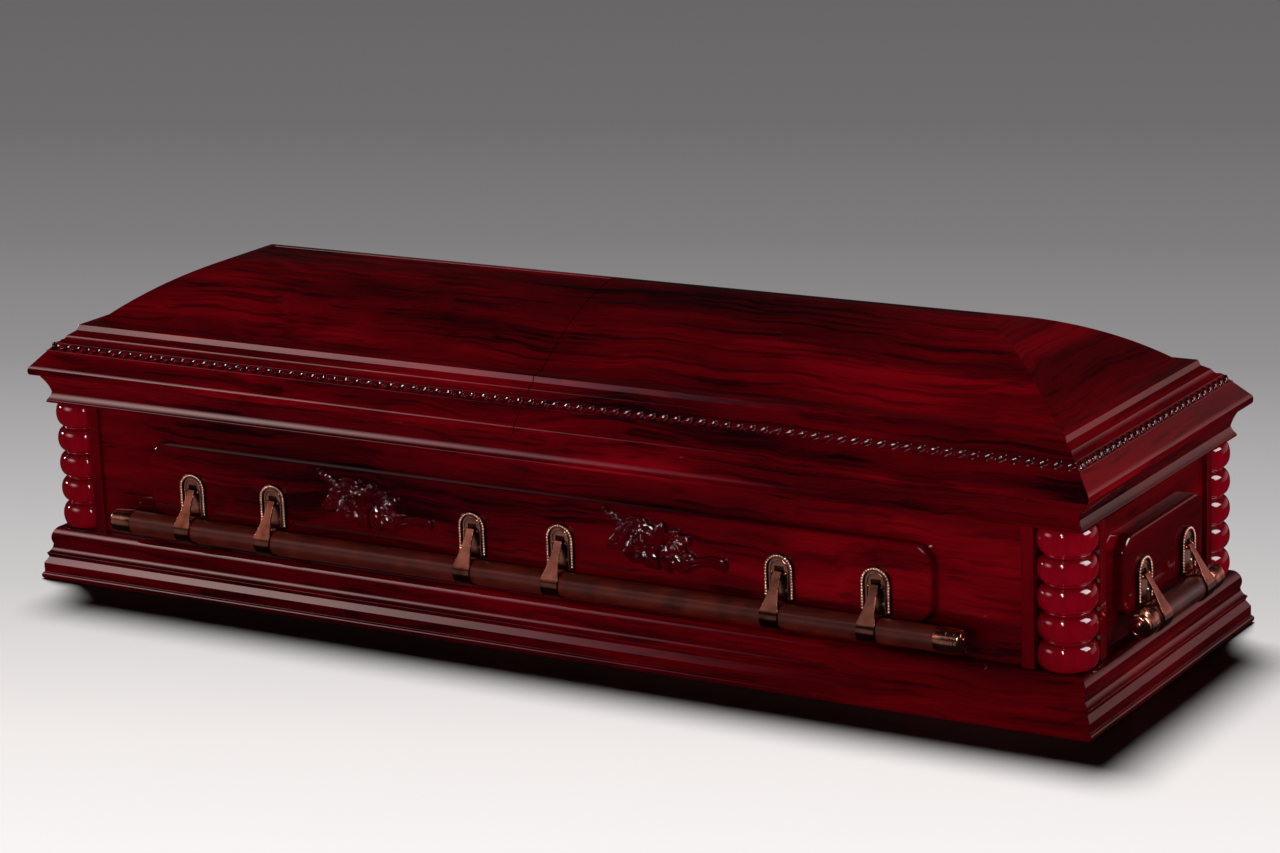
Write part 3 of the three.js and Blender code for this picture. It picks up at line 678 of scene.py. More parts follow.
# turned tip from its shoulder to its end: distance along, radius
tipProfile = [
    (0, 21), (0, 21.7), (0.5, 22), (21, 22), (21.6, 21.2), (22.4, 21.2), (23, 22), (26, 22),
    (26.6, 21), (27.4, 21), (28, 21.8), (30.5, 21.8), (31.1, 20.8), (31.9, 20.8), (32.5, 21.6),
    (35, 21.6), (35.6, 20.4), (37, 20.2), (40, 20.6), (42.5, 20.2), (45, 18.8), (46.6, 16.6),
    (47.4, 14.2), (47.6, 12.2), (46.6, 11.2), (46.4, 10.4), (47.4, 9.6), (48.8, 8.2), (49.6, 5),
    (49.9, 0),
]


def turnedOnX(name, profile, centre, side, material, closed=False, **kept):
    points, faces, starts = [], [], []
    turns = bar["turns"]
    for along, radius in profile:
        starts.append(len(points))
        for k in range(turns if radius > 0 else 1):
            angle = 2 * math.pi * k / turns
            points.append(turnedPoint((centre[0] + along, centre[1] + radius * math.sin(angle),
                                       centre[2] + radius * math.cos(angle)), sides[side]["turn"]))
    for i in range(len(profile) - 1):
        a, b = starts[i], starts[i + 1]
        for k in range(turns):
            n = (k + 1) % turns
            if profile[i + 1][1] == 0:
                faces.append((a + k, a + n, b))
            elif profile[i][1] == 0:
                faces.append((a, b + n, b + k))
            else:
                faces.append((a + k, a + n, b + n, b + k))
    for i in (0, len(profile) - 1):
        if profile[i][1] > 0 and not closed:
            faces.append(tuple(range(starts[i], starts[i] + turns)))
    if closed:
        a, b = starts[-1], starts[0]
        faces += [(a + k, a + (k + 1) % turns, b + (k + 1) % turns, b + k) for k in range(turns)]
    return meshObject(name, points, faces, material, **kept)


def sideFrame(side, along, out, height):
    return (sides[side]["shift"] + along, -sides[side]["depth"] - out, height)


for side in sides:
    half = (bar["sideLength"] if isLong(side) else bar["endLength"]) / 2
    centre = sideFrame(side, 0, barOut, barHeight)
    shoulder = half - bar["tip"]
    tube = [(-shoulder, bar["radius"]), (shoulder, bar["radius"])]
    turnedOnX(f"bar_tube_{side}", tube, centre, side, brownEnamel,
              body=f"{side}_handle", replaced=[f"handle_bar_{side}"], slot="bar_tube")
    for end, word in ((-1, "left"), (1, "right")):
        profile = [(end * (shoulder + along), radius) for along, radius in tipProfile]
        turnedOnX(f"bar_tip_{side}_{word}", profile, centre, side, copper,
                  body=f"{side}_handle", slot="copper_plate", sharp=40)
print("bars made")

# arms: a clamp round the bar and a strap that flares down to it from its knuckle
arm = {"clampWidth": 34, "sheet": 3, "running": 0.3, "top": 15, "knuckle": 4.5, "head": 2.7,
       "flareFrom": 12, "flareEnd": 2, "flarePower": 1.7, "strapEdge": 0.7, "clampEdge": 0.9,
       "rows": 18}
clampInner = bar["radius"] + arm["running"]
clampOuter = clampInner + arm["sheet"]
spanOut, spanDown = barOut - pivotOut, pivotHeight - barHeight
span = math.hypot(spanOut, spanDown)
lean = math.atan2(spanOut, spanDown) + math.asin((clampOuter - arm["knuckle"]) / span)
strapLength = math.sqrt(span ** 2 - (clampOuter - arm["knuckle"]) ** 2)


def strapPoint(side, place, across, down, off):
    out = pivotOut + down * math.sin(lean) + off * math.cos(lean)
    height = pivotHeight - down * math.cos(lean) + off * math.sin(lean)
    return turnedPoint(sideFrame(side, place + across, out, height), sides[side]["turn"])


def strapHalfWidth(down):
    share = (down - arm["flareFrom"]) / (strapLength - arm["flareFrom"] - arm["flareEnd"])
    flare = max(0, min(1, share)) ** arm["flarePower"]
    return arm["top"] / 2 + (arm["clampWidth"] - arm["top"]) / 2 * flare


def strapArm(name, side, place):
    points, faces, rows = [], [], arm["rows"]
    front, back = arm["knuckle"], arm["knuckle"] - arm["sheet"]
    for i in range(rows + 1):
        down = -arm["head"] + (strapLength + arm["head"]) * i / rows
        half = strapHalfWidth(down)
        for off in (front, back):
            for across in (-half, half):
                points.append(strapPoint(side, place, across, down, off))
    for i in range(rows):
        a, b = 4 * i, 4 * i + 4
        faces += [(a, a + 1, b + 1, b), (a + 2, b + 2, b + 3, a + 3),
                  (a, b, b + 2, a + 2), (a + 1, a + 3, b + 3, b + 1)]
    last = 4 * rows
    faces += [(0, 2, 3, 1), (last, last + 1, last + 3, last + 2)]
    strap = meshObject(f"arm_strap_{name}", points, faces, armCopper, body=f"{side}_handle",
                       replaced=[f"handle_arm_{name}"], slot="copper_plate", sharp=35)
    softEdges(strap, arm["strapEdge"], angle=35)
    edge, half = arm["clampEdge"], arm["clampWidth"] / 2
    profile = [(-half, clampInner), (-half, clampOuter - edge), (-half + edge, clampOuter),
               (half - edge, clampOuter), (half, clampOuter - edge), (half, clampInner)]
    centre = sideFrame(side, place, barOut, barHeight)
    turnedOnX(f"arm_clamp_{name}", profile, centre, side, armCopper, closed=True,
              body=f"{side}_handle", slot="copper_plate", sharp=35)
    knuckle = [(-arm["top"] / 2, arm["knuckle"]), (arm["top"] / 2, arm["knuckle"])]
    centre = sideFrame(side, place, pivotOut, pivotHeight)
    turnedOnX(f"arm_knuckle_{name}", knuckle, centre, side, armCopper, body=f"{side}_handle",
              slot="copper_plate")


def lugPlaces(side):
    groups = (-1, 0, 1) if isLong(side) else (0,)
    return [group * lug["groups"] + end * lug["pair"] / 2 for group in groups for end in (-1, 1)]


# lugs: die-cast arched plates with a beaded border, a raised band and a slot for the knuckle
lugLook = {"border": 6, "borderHigh": 6.4, "bead": 2.2, "beadPitch": 5, "bandInset": 9,
           "bandWide": 3, "bandHigh": 4.6, "slotHalf": 9, "slotAbove": 12, "slotBelow": 6,
           "slotShadeLap": 2, "studOut": 12.8, "stud": 3.6,
           "screwAcross": 14.19, "screwDown": 29, "screw": 3.4}


def archPath(inset, steps=20):
    radius = lug["width"] / 2 - inset
    straight = lug["rise"] - lug["width"] / 2
    path = [(radius, inset), (radius, straight * 0.5), (radius, straight)]
    for i in range(1, steps):
        angle = math.pi * i / steps
        path.append((radius * math.cos(angle), straight + radius * math.sin(angle)))
    return path + [(-radius, straight), (-radius, straight * 0.5), (-radius, inset)]


# the same arch with its feet on the lug's lower edge
def groundedArch(inset):
    path = archPath(inset)
    return [(path[0][0], 0)] + path[1:-1] + [(path[-1][0], 0)]


def lugPoint(side, place, across, up, off):
    point = sideFrame(side, place + across, boardOut + fitGap + off, lugBottom + up)
    return turnedPoint(point, sides[side]["turn"])


def archSweep(name, side, place, levels, material, **kept):
    points = [lugPoint(side, place, x, z, off)
              for inset, off in levels for x, z in groundedArch(inset)]
    faces, n = [], len(levels)
    count = len(points) // n
    for level in range(n):
        a, b = level * count, ((level + 1) % n) * count
        faces += [(a + i, a + i + 1, b + i + 1, b + i) for i in range(count - 1)]
    faces += [tuple(level * count for level in range(n)),
              tuple(level * count + count - 1 for level in range(n - 1, -1, -1))]
    return meshObject(name, points, faces, material, slot="copper_plate", **kept)


def ball(points, faces, centre, radius, side, place, around=8, rings=4, flat=1.0):
    first = len(points)
    for ring in range(rings):
        rise = math.radians(-20 + 110 * ring / rings)  # from a little under its middle
        for k in range(around):
            angle = 2 * math.pi * k / around
            reach = radius * math.cos(rise)
            points.append(lugPoint(side, place, centre[0] + reach * math.cos(angle),
                                   centre[1] + reach * math.sin(angle),
                                   centre[2] + flat * radius * math.sin(rise)))
    points.append(lugPoint(side, place, centre[0], centre[1], centre[2] + flat * radius))
    faces += domeFaces(first, around, rings)


def lugPlate(name, side, place):
    look, pivot = lugLook, lug["pivotRise"]
    border, rim, groove = look["border"], look["borderHigh"], look["borderHigh"] - 0.9
    archSweep(f"lug_border_{name}", side, place,
              [(0, 0), (0, rim - 0.6), (0.6, rim), (1.2, groove), (border - 1.2, groove),
               (border - 0.6, rim), (border, rim - 0.6), (border, 0)],
              patinaAndShadeCopper, replaced=[f"handle_lug_{name}"], sharp=40)
    inner, outer, high = look["bandInset"], look["bandInset"] + look["bandWide"], look["bandHigh"]
    archSweep(f"lug_band_{name}", side, place,
              [(inner, 2), (inner, high - 0.9), (inner + 0.8, high), (outer - 0.8, high),
               (outer, high - 0.9), (outer, 2)], brightCopper, sharp=50)
    # dark sheet behind the slot, seen through it: painted shade that darkens the slot, coloured
    # with the dark patina copper
    half = look["slotHalf"] + look["slotShadeLap"]
    low = pivot - look["slotBelow"] - look["slotShadeLap"]
    high = pivot + look["slotAbove"] + look["slotShadeLap"]
    points = [lugPoint(side, place, x, z, off) for off in (0.1, 0.8)
              for x, z in ((-half, low), (half, low), (half, high), (-half, high))]
    meshObject(f"lug_back_{name}", points, stackFaces(4, 2), patinaAndShadeCopper, slot="copper_plate")
    # plate with its slot: rings of points from the arch to the slot's edge
    outer = groundedArch(border - 1) + [(0, 0)]
    middle = pivot + (look["slotAbove"] - look["slotBelow"]) / 2
    tall = (look["slotAbove"] + look["slotBelow"]) / 2
    slot = []
    for x, z in outer:
        scale = 1 / max(abs(x) / look["slotHalf"], abs(z - middle) / tall)
        slot.append((x * scale, middle + (z - middle) * scale))
    points, faces = [], []
    count = len(outer)
    for off in (lug["plate"], 0):
        for loop in (outer, slot):
            points += [lugPoint(side, place, x, z, off) for x, z in loop]
    for i in range(count):
        j = (i + 1) % count
        faces += [(i, j, count + j, count + i),
                  (2 * count + i, 3 * count + i, 3 * count + j, 2 * count + j),
                  (i, 2 * count + i, 2 * count + j, j),
                  (count + i, count + j, 3 * count + j, 3 * count + i)]
    meshObject(f"lug_plate_{name}", points, faces, copper, slot="copper_plate", sharp=30)
    points, faces = [], []
    path = archPath(border / 2, 60)
    travelled, target = 0, look["beadPitch"] / 2
    for (x0, z0), (x1, z1) in zip(path, path[1:]):
        length = math.dist((x0, z0), (x1, z1))
        while target <= travelled + length:
            share = (target - travelled) / length
            ball(points, faces, (x0 + (x1 - x0) * share, z0 + (z1 - z0) * share, groove),
                 look["bead"], side, place)
            target += look["beadPitch"]
        travelled += length
    meshObject(f"lug_beads_{name}", points, faces, beadCopper, slot="copper_plate", sharp=60)
    pinOff = lug["plate"] + lug["pivotProud"] - 1
    for word, across, up, off, radius, rings, flat, metal in (
            ("pin_ends", look["studOut"], pivot, pinOff, look["stud"], 6, 1.0, copper),
            ("screws", look["screwAcross"], pivot - look["screwDown"], lug["plate"], look["screw"],
             5, 0.55, screwSteel)):
        points, faces = [], []
        for end in (-1, 1):
            ball(points, faces, (end * across, up, off), radius, side, place, 16, rings, flat)
        meshObject(f"lug_{word}_{name}", points, faces, metal, slot="copper_plate", sharp=60)


for side in sides:
    for number, place in enumerate(lugPlaces(side), 1):
        strapArm(f"{side}_{number}", side, place)
        lugPlate(f"{side}_{number}", side, place)
print("arms and lugs made")

# carved rose sprays: one relief each, in which every petal and leaf lies over what is under it
spray = {"offset": 292, "rise": 76, "pitch": 0.8,
         "left": -122, "right": 124, "low": -54, "high": 54,
         "bloom": (-49, 10), "small": (24, 1)}


def smoothStep(low, high, value):
    share = max(0, min(1, (value - low) / (high - low)))
    return share * share * (3 - 2 * share)


# a petal round the bloom's centre cups up to its rolled lip, and one side lies over its neighbour
def petal(centre, angle, halfWidth, inner, lip, height, tilt=1.4):
    def rise(x, y):
        dx, dy = x - centre[0], y - centre[1]
        turn = (math.atan2(dy, dx) - angle + math.pi) % (2 * math.pi) - math.pi
        across = turn / halfWidth
        if abs(across) > 1:
            return None
        ripple = 0.025 * math.sin(5 * across + angle * 3)
        reach = lip * (1 - 0.13 * abs(across) ** 3 + ripple)
        share = math.hypot(dx, dy) / reach
        if share > 1:
            return None
        cup = 0.5 + 0.5 * smoothStep(inner / lip, 0.93, share)
        roll = max(0, share - 0.9) / 0.1
        edge = max(0, abs(across) - 0.86) / 0.14
        return height * cup - 1.8 * roll ** 2 - 1.8 * edge ** 2 + tilt * across
    reachOut = lip * 1.04
    x, y = centre
    return (x - reachOut, x + reachOut, y - reachOut, y + reachOut), rise


def bloomPetals(centre, size, height, seed):
    draw = random.Random(seed)
    # petals in a ring, inner reach, lip, share of the height, half width, first angle
    rings = [(5, 0.68, 1.0, 0.48, 0.76, 0.3), (5, 0.5, 0.82, 0.66, 0.78, 1.0),
             (4, 0.36, 0.65, 0.8, 0.95, 0.2), (3, 0.24, 0.48, 0.92, 1.2, 0.8),
             (3, 0.12, 0.32, 1.0, 1.25, 0.1), (2, 0.03, 0.17, 1.04, 1.7, 0.9)]
    return [petal(centre, first + 2 * math.pi * k / count + draw.uniform(-0.1, 0.1), halfWidth,
                  inner * size, lip * size * draw.uniform(0.95, 1.02), share * height, 1.5 * share)
            for count, inner, lip, share, halfWidth, first in rings for k in range(count)]


# a leaf follows a curved line: crowned, with a sunk midrib, side veins and a raised edge
def leaf(line, width, height, blunt=0, teeth=0, veins=5, twist=0, edge=0.1):
    samples = 22
    track = [curvePoint(line, i / samples) for i in range(samples + 1)]
    halfWidths = []
    for i in range(samples + 1):
        share = i / samples
        swell = math.sin(math.pi * (0.1 + 0.86 * share)) ** 0.7 * (1 - 0.2 * share)
        swell = swell * (1 - blunt) + blunt * (0.8 + 0.2 * math.cos(2 * math.pi * share))
        halfWidths.append(width / 2 * swell * (1 + 0.12 * math.sin(2 * math.pi * teeth * share)))
    margin = width / 2 + 1

    def rise(x, y):
        best = None
        for i in range(samples):
            (x0, y0), (x1, y1) = track[i], track[i + 1]
            dx, dy = x1 - x0, y1 - y0
            along = ((x - x0) * dx + (y - y0) * dy) / (dx * dx + dy * dy)
            if i == 0 and along < 0 or i == samples - 1 and along > 1:
                continue
            along = max(0, min(1, along))
            away = math.hypot(x - x0 - dx * along, y - y0 - dy * along)
            if best is None or away < best[0]:
                side = math.copysign(1, dx * (y - y0) - dy * (x - x0))
                half = halfWidths[i] + (halfWidths[i + 1] - halfWidths[i]) * along
                best = (away, side, half, (i + along) / samples)
        if best is None or best[0] > best[2]:
            return None
        away, side, half, share = best
        across = away / half
        body = 1 - 0.4 * across ** 2 + edge * math.exp(-((across - 0.86) / 0.08) ** 2)
        body -= 0.2 * math.exp(-(across / 0.1) ** 2) * smoothStep(0, 0.15, share)
        vein = math.sin(2 * math.pi * veins * (share - 0.2 * across))
        body += 0.05 * vein * (1 - across) * across * 4
        body -= 0.25 * max(0, across - 0.93) / 0.07
        return height * (0.6 + 0.4 * math.sin(math.pi * share)) * body + twist * side * across
    xs, ys = [p[0] for p in track], [p[1] for p in track]
    return (min(xs) - margin, max(xs) + margin, min(ys) - margin, max(ys) + margin), rise


def curvePoint(line, share):
    place = share * (len(line) - 1)
    i = min(int(place), len(line) - 2)
    t = place - i
    p0, p1, p2, p3 = line[max(0, i - 1)], line[i], line[i + 1], line[min(len(line) - 1, i + 2)]
    return [0.5 * (2 * b + (c - a) * t + (2 * a - 5 * b + 4 * c - d) * t ** 2
                   + (3 * b - a - 3 * c + d) * t ** 3) for a, b, c, d in zip(p0, p1, p2, p3)]


def sprayForms():
    forms = bloomPetals(spray["bloom"], 35, 19, 3) + bloomPetals(spray["small"], 20, 14, 8)
    # two big outer petals hug the bloom below
    forms += [petal(spray["bloom"], math.radians(-98), 0.62, 20, 47, 13),
              petal(spray["bloom"], math.radians(-52), 0.5, 20, 44, 11),
              petal(spray["bloom"], math.radians(-140), 0.45, 20, 42, 9)]
    forms += [leaf([(-72, 14), (-94, 31), (-117, 46)], 11, 6, teeth=5),
              leaf([(-78, 26), (-92, 38), (-104, 47)], 9, 5, teeth=4)]
    for i in range(6):
        x, y = -84 - 6 * i, 27 + 3.6 * i + 3 * (i % 2)
        forms.append(leaf([(x + 5, y - 1), (x - 4, y + 3)], 7, 7.5, veins=1))
    forms += [
        leaf([(-70, 0), (-90, -7), (-110, -17)], 32, 8, veins=6),
        leaf([(-66, 16), (-84, 12), (-97, 2)], 20, 7, veins=5),
        leaf([(-18, -10), (-9, 12), (0, 37)], 30, 15, veins=4),
        leaf([(-20, 4), (-18, 16), (-22, 30)], 18, 11, veins=4),
        leaf([(4, 8), (18, 20), (30, 26)], 18, 10, veins=4),
        leaf([(30, 6), (42, 12), (50, 4)], 18, 9, veins=4),
        leaf([(-22, -6), (-20, -26), (-12, -44)], 26, 13, veins=4, twist=2),
        leaf([(-34, -20), (-30, -34), (-22, -42)], 20, 10, veins=4),
        leaf([(4, -6), (4, -26), (12, -46)], 24, 12, veins=4, twist=-2),
        leaf([(14, -14), (24, -28), (38, -44)], 26, 13, veins=3, twist=2),
        leaf([(26, -14), (48, -18), (62, -26)], 24, 12, veins=3),
        # the wide ribbon leaf folds over and runs out to a squared end
        leaf([(16, -26), (40, -34), (66, -24), (92, -20), (113, -24)], 27, 12, blunt=0.85, veins=3,
             twist=2.5, edge=0.25),
    ]
    return forms


# the steps of the relief's grid that a form may touch
def gridSpan(low, high, start, count):
    return range(max(0, math.ceil((low - start) / spray["pitch"])),
                 min(count - 1, int((high - start) / spray["pitch"])) + 1)


def sprayRelief():
    columns = round((spray["right"] - spray["left"]) / spray["pitch"]) + 1
    rows = round((spray["high"] - spray["low"]) / spray["pitch"]) + 1
    heights = [[0.0] * columns for r in range(rows)]
    for (left, right, low, high), rise in sprayForms():
        for r in gridSpan(low, high, spray["low"], rows):
            for c in gridSpan(left, right, spray["left"], columns):
                height = rise(spray["left"] + c * spray["pitch"], spray["low"] + r * spray["pitch"])
                if height is not None and height > heights[r][c]:
                    heights[r][c] = height
    # the carver's scraper takes the sharpness off every edge
    soft = [row[:] for row in heights]
    for r in range(1, rows - 1):
        for c in range(1, columns - 1):
            if heights[r][c] > 0:
                around = (heights[r - 1][c] + heights[r + 1][c]
                          + heights[r][c - 1] + heights[r][c + 1])
                soft[r][c] = 0.5 * heights[r][c] + 0.125 * around
    return soft


def roseSpray(name, number, middleX, heights):
    points, faces, index = [], [], {}
    centre = (middleX, -halfDepth - boardOut, baseRise + board["lift"] + spray["rise"])

    def corner(r, c, bottom):
        key = (r, c, bottom)
        if key not in index:
            index[key] = len(points)
            off = -0.6 if bottom else max(0.3, heights[r][c])
            points.append((centre[0] + spray["left"] + c * spray["pitch"], centre[1] - off,
                           centre[2] + spray["low"] + r * spray["pitch"]))
        return index[key]

    carved = {(r, c) for r in range(len(heights) - 1) for c in range(len(heights[0]) - 1)
              if heights[r][c] + heights[r + 1][c] + heights[r][c + 1] + heights[r + 1][c + 1] > 6}
    for r, c in sorted(carved):
        ring = [(r, c), (r, c + 1), (r + 1, c + 1), (r + 1, c)]
        faces.append([corner(*p, False) for p in ring])
        faces.append([corner(*p, True) for p in ring[::-1]])
        for (a, b), step in zip(zip(ring, ring[1:] + ring[:1]), ((-1, 0), (0, 1), (1, 0), (0, -1))):
            if (r + step[0], c + step[1]) not in carved:
                faces.append([corner(*a, False), corner(*a, True),
                              corner(*b, True), corner(*b, False)])
    obj = meshObject(name, points, faces, carvedWood, replaced=[f"rose_spray_{number}"],
                     slot="carved_wood", sharp=180)
    smooth = obj.modifiers.new("scraped smooth", "SMOOTH")
    smooth.factor, smooth.iterations = 0.5, 2


relief = sprayRelief()
for number, end in ((1, -1), (2, 1)):
    middleX = sides["front"]["shift"] + end * spray["offset"]
    roseSpray(f"carved_roses_{number}", number, middleX, relief)
print("roses made")

# camera fitted to the photograph's vanishing points, image taken as 1280 x 853
view = bpy.data.cameras.new("camera")
view.sensor_width = 36
view.lens = 105.884
view.clip_end = 100
camera = bpy.data.objects.new("camera", view)
camera.matrix_world = Matrix.Translation((3.36597, -5.42533, 2.02602)) @ (
    Matrix.Rotation(0.549353053, 4, "Z") @ Matrix.Rotation(1.30918920, 4, "X")
    @ Matrix.Rotation(-0.0382909416, 4, "Z"))
scene.collection.objects.link(camera)
scene.camera = camera

# studio: a paper sheet painted from white in front to grey behind, a painted falloff of light, a
# dark room, soft lamps
studio = {"floorSize": 36, "room": "#1b1919", "wall": "#dcacaa", "strength": 1.0,
          "away": (-0.34, 0.94), "sheetFrom": -1.5, "sheetTo": 7.5,
          "bandFrom": -0.06, "bandTo": 0.45,
          "wallTowards": (0.52, 0.854), "wallFrom": 0.78, "wallTo": 0.96}
# the sheet's shades are painted light: white in front, darkening to grey far behind as the light
# falls off
sheetPaintedFalloff = [(0.00, "#9c9a9a"), (1.00, "#3d3b3c"), (0.08, "#959291"), (0.17, "#7e7c7c"),
               (0.25, "#6f6d6e"), (0.36, "#595758"), (0.50, "#4c4a4b"), (0.68, "#424041")]
sheetLight = {"strength": 10.2, "angle": 17, "direction": (0.27, -0.34, -0.9)}
floorMaterial, tree = newMaterial("paperSheetPaintedFalloff")
place = addNode(tree, "ShaderNodeTexCoord").outputs["Object"]
grit = addNode(tree, "ShaderNodeTexNoise", {}, {"Scale": 60, "Detail": 3})
gritRange = addNode(tree, "ShaderNodeMapRange", {}, {
    "Value": grit.outputs["Fac"], "To Min": 0.75, "To Max": 0.85})
backwards = addNode(tree, "ShaderNodeVectorMath", {"operation": "DOT_PRODUCT"}, {
    0: place, 1: (*studio["away"], 0)}).outputs["Value"]
share = addNode(tree, "ShaderNodeMapRange", {}, {
    "Value": backwards, "From Min": studio["sheetFrom"], "From Max": studio["sheetTo"]})
shade = addNode(tree, "ShaderNodeValToRGB", {}, {"Fac": share.outputs[0]}, [
    (place, toLinear(colour)) for place, colour in sheetPaintedFalloff])
floorShader = addNode(tree, "ShaderNodeBsdfPrincipled", {}, {
    "Base Color": shade.outputs["Color"], "Roughness": gritRange.outputs[0],
    "Specular IOR Level": 0})
addNode(tree, "ShaderNodeOutputMaterial", {}, {"Surface": floorShader.outputs[0]})
half = studio["floorSize"] / 2
floorMesh = bpy.data.meshes.new("studio_floor")
corners = [(-half, -half, 0), (half, -half, 0), (half, half, 0), (-half, half, 0)]
floorMesh.from_pydata(corners, [], [(0, 1, 2, 3)])
floorMesh.materials.append(floorMaterial)
floor = bpy.data.objects.new("studio_floor", floorMesh)
floor.visible_glossy = False  # the lacquer doesn't mirror the white floor
scene.collection.objects.link(floor)

world = bpy.data.worlds.new("studio")
world.use_nodes = True
tree = world.node_tree
direction = addNode(tree, "ShaderNodeTexCoord").outputs["Generated"]
rise = addNode(tree, "ShaderNodeSeparateXYZ", {}, {"Vector": direction}).outputs["Z"]
share = addNode(tree, "ShaderNodeMapRange", {}, {
    "Value": rise, "From Min": studio["bandFrom"], "From Max": studio["bandTo"]})
band = addNode(tree, "ShaderNodeValToRGB", {}, {"Fac": share.outputs[0]}, [
    (0.0, (0, 0, 0, 1)), (1.0, (0, 0, 0, 1)), (0.08, (0.9, 0.9, 0.9, 1)), (0.5, (0.8, 0.8, 0.8, 1)),
    (0.75, (0.3, 0.3, 0.3, 1))])
behind = addNode(tree, "ShaderNodeVectorMath", {"operation": "DOT_PRODUCT"}, {
    0: direction, 1: (*studio["wallTowards"], 0)}).outputs["Value"]
toWall = addNode(tree, "ShaderNodeMapRange", {"interpolation_type": "SMOOTHSTEP"}, {
    "Value": behind, "From Min": studio["wallFrom"], "From Max": studio["wallTo"]})
lit = addNode(tree, "ShaderNodeMath", {"operation": "MULTIPLY"}, {
    0: band.outputs["Color"], 1: toWall.outputs[0]})
room = addNode(tree, "ShaderNodeMix", {"data_type": "RGBA"}, {"Factor": lit.outputs[0]})
room.inputs[6].default_value = toLinear(studio["room"])
room.inputs[7].default_value = toLinear(studio["wall"])
tree.links.new(room.outputs[2], tree.nodes["Background"].inputs["Color"])
tree.nodes["Background"].inputs["Strength"].default_value = studio["strength"]
world.cycles_visibility.diffuse = False  # the room is only mirrored; the lamps do the lighting
scene.world = world


# the pieces that one kind of lamp lights, or all but those pieces
def lampReach(name, objects, state):
    reach = bpy.data.collections.new(name)
    for obj in dict.fromkeys(objects):
        reach.objects.link(obj)
        reach.collection_objects[-1].light_linking.link_state = state
    return reach


metals = (copper, armCopper, brightCopper, beadCopper, patinaAndShadeCopper, brownEnamel, screwSteel)
solids = [obj for obj in scene.objects if obj.type == "MESH"]
coloured = [obj for obj in solids if obj.data.materials]
metalPieces = [obj for obj in coloured if obj.data.materials[0] in metals]
carvedPieces = [obj for obj in coloured if obj.data.materials[0] == carvedWood
                or obj.name.startswith(("rope", "lug_beads"))]
broadPieces = [obj for obj in solids
               if obj.name.startswith(("lid", "cornice", "base", "wall_panel"))]
reaches = {
    "sheet": lampReach("the sheet", [floor], "INCLUDE"),
    "metal": lampReach("the metal", metalPieces, "INCLUDE"),
    "wood": lampReach("flat and moulded wood", [floor] + metalPieces + carvedPieces + [
        scene.objects["raised_board_front"]], "EXCLUDE"),
    "object": lampReach("all but the sheet", [floor], "EXCLUDE"),
    "small": lampReach("all but the broad pieces", [floor] + broadPieces, "EXCLUDE"),
    "carving": lampReach("carved wood and beads", carvedPieces, "INCLUDE"),
}


# a softbox is bright in the middle of its cloth and fades to its edges
def softenLamp(lamp, edge, middle):
    lamp.use_nodes = True
    tree = lamp.node_tree
    tree.nodes.clear()
    spread = addNode(tree, "ShaderNodeNewGeometry").outputs["Parametric"]
    parts = addNode(tree, "ShaderNodeSeparateXYZ", {}, {"Vector": spread})
    fades, nearness = [], []
    for share in (parts.outputs["X"], parts.outputs["Y"]):
        fade = addNode(tree, "ShaderNodeMath", {"operation": "PINGPONG"}, {0: share, 1: 0.5})
        nearness.append(fade.outputs[0])
        fades.append(addNode(tree, "ShaderNodeMapRange", {"interpolation_type": "SMOOTHSTEP"}, {
            "Value": fade.outputs[0], "From Min": 0.0, "From Max": 0.5, "To Max": 2.0}).outputs[0])
    strength = addNode(tree, "ShaderNodeMath", {"operation": "MULTIPLY"}, {
        0: fades[0], 1: fades[1]})
    cloth = addNode(tree, "ShaderNodeValToRGB", {}, {"Fac": nearness[0]}, [
        (0.05, edge), (0.45, middle)])
    glow = addNode(tree, "ShaderNodeEmission", {}, {
        "Color": cloth.outputs["Color"], "Strength": strength.outputs[0]})
    addNode(tree, "ShaderNodeOutputLight", {}, {"Surface": glow.outputs[0]})


# the sheet's own light comes from behind on the left, so the shadow falls to the front and right
sun = bpy.data.lights.new("sheet light", "SUN")
sun.energy = sheetLight["strength"]
sun.angle = math.radians(sheetLight["angle"])
sunObject = bpy.data.objects.new("sheet light", sun)
sunObject.rotation_euler = Vector(sheetLight["direction"]).to_track_quat("-Z", "Y").to_euler()
sunObject.light_linking.receiver_collection = reaches["sheet"]
scene.collection.objects.link(sunObject)

# one softbox stands in three lamps, so that wood, carving and metal get their own share of it
leftBox = ((-3.1, -2.9, 2.1), (-0.5, -0.3, 0.3), 3.9, 2.4)
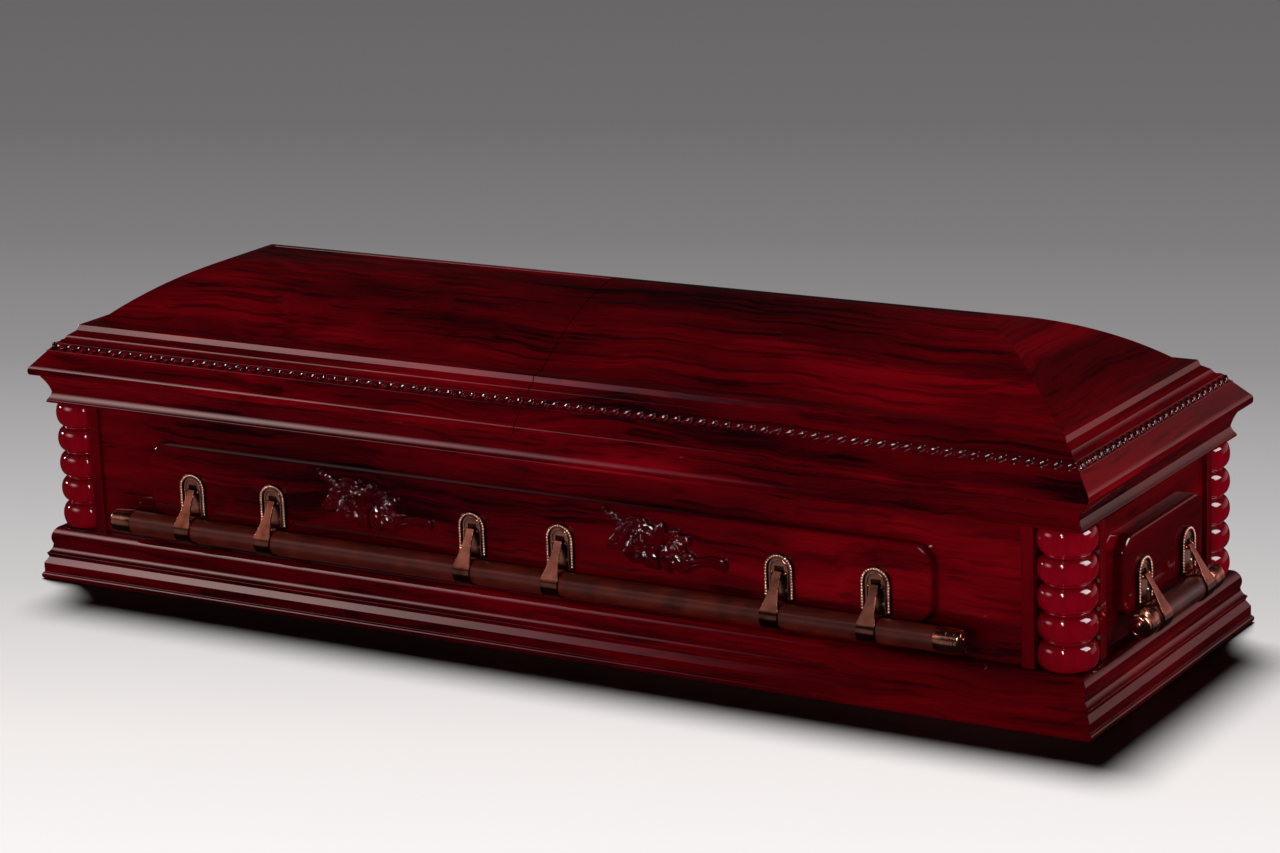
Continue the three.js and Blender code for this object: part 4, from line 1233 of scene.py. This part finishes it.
# name, place, aimed at, width, height, watts, what it lights, mirrored in gloss, lights matt colour
lamps = [
    ("front fill", (-0.2, -5.5, 1.5), (0, 0, 0.25), 3.5, 1.2, 90, "object", False, True),
    ("back fill", (0.2, 5.5, 1.5), (0, 0, 0.25), 3.5, 1.2, 90, "object", False, True),
    ("overhead fill", (0.5, -0.6, 3.6), (0, 0, 0.3), 2.4, 1.4, 31, "object", False, True),
    ("right fill", (4.2, 0.5, 1.6), (1, 0, 0.25), 1.4, 1.0, 32, "object", False, True),
    ("left fill", (-4.0, 1.2, 1.3), (-1, 0, 0.25), 1.4, 1.0, 28, "object", False, True),
    ("left softbox", *leftBox, 35, "wood", True, False),
    ("right softbox", (2.9, 0.7, 1.9), (1, 0, 0.2), 1.5, 1.6, 75, "small", True, False),
    ("front spot high", (0.95, -2.6, 2.3), (1, -0.3, 0.2), 0.3, 0.3, 18, "object", True, False),
    ("front spot low", (1.2, -2.7, 1.5), (1, -0.3, 0.2), 0.2, 0.2, 6, "object", True, False),
    ("left spot", (-3.4, -0.5, 1.0), (1, -0.3, 0.2), 0.27, 0.27, 12, "object", True, False),
    ("carving softbox", *leftBox, 10, "carving", True, False),
    ("carving light", (1.5, -2.6, 2.6), (0, -0.3, 0.4), 0.55, 0.45, 105, "carving", True, False),
    ("carving light low", (0.7, -3.2, 1.7), (0, -0.3, 0.4), 0.38, 0.3, 45, "carving", True, False),
    ("metal light front", (-1.9, -3.2, -0.2), (0, -0.3, 0.2), 4.0, 1.8, 6, "metal", True, True),
    ("metal light back", (2.6, 3.0, -0.1), (0.6, 0.2, 0.2), 3.0, 1.8, 4, "metal", True, True),
    ("metal softbox", *leftBox, 7.5, "metal", True, False),
    ("metal strip", (-0.6, -2.6, 2.0), (0, -0.3, 0.2), 3.2, 0.2, 2.5, "metal", True, True),
]
# a softbox's colour at its edges and in its middle
softboxes = {"carving softbox": ((0.8, 0.4, 0.55, 1), (0.95, 0.55, 0.65, 1)),
             "left softbox": ((0.95, 0.3, 0.45, 1), (1.0, 0.7, 0.66, 1)),
             "metal softbox": ((1.0, 0.7, 0.6, 1), (1.0, 0.85, 0.75, 1))}
lampTints = {"carving light": (1.0, 0.84, 0.8), "carving light low": (1.0, 0.84, 0.8),
             "right softbox": (1.0, 0.96, 0.97)}
# the sheet doesn't hide the metal lights, which reach below it
unblocked = lampReach("hides no metal light", [floor], "EXCLUDE")
for name, place, aim, width, height, watts, reach, mirrored, lighting in lamps:
    lamp = bpy.data.lights.new(name, "AREA")
    lamp.shape = "RECTANGLE"
    lamp.size, lamp.size_y, lamp.energy = width, height, watts
    if name in lampTints:
        lamp.color = lampTints[name]
    if name in softboxes:
        softenLamp(lamp, *softboxes[name])
    lampObject = bpy.data.objects.new(name, lamp)
    lampObject.location = place
    lampObject.rotation_euler = (Vector(aim) - Vector(place)).to_track_quat("-Z", "Y").to_euler()
    lampObject.visible_glossy, lampObject.visible_diffuse = mirrored, lighting
    lampObject.light_linking.receiver_collection = reaches[reach]
    if reach == "metal":
        lampObject.light_linking.blocker_collection = unblocked
    scene.collection.objects.link(lampObject)
scene.view_settings.view_transform = "Standard"
print("studio made")
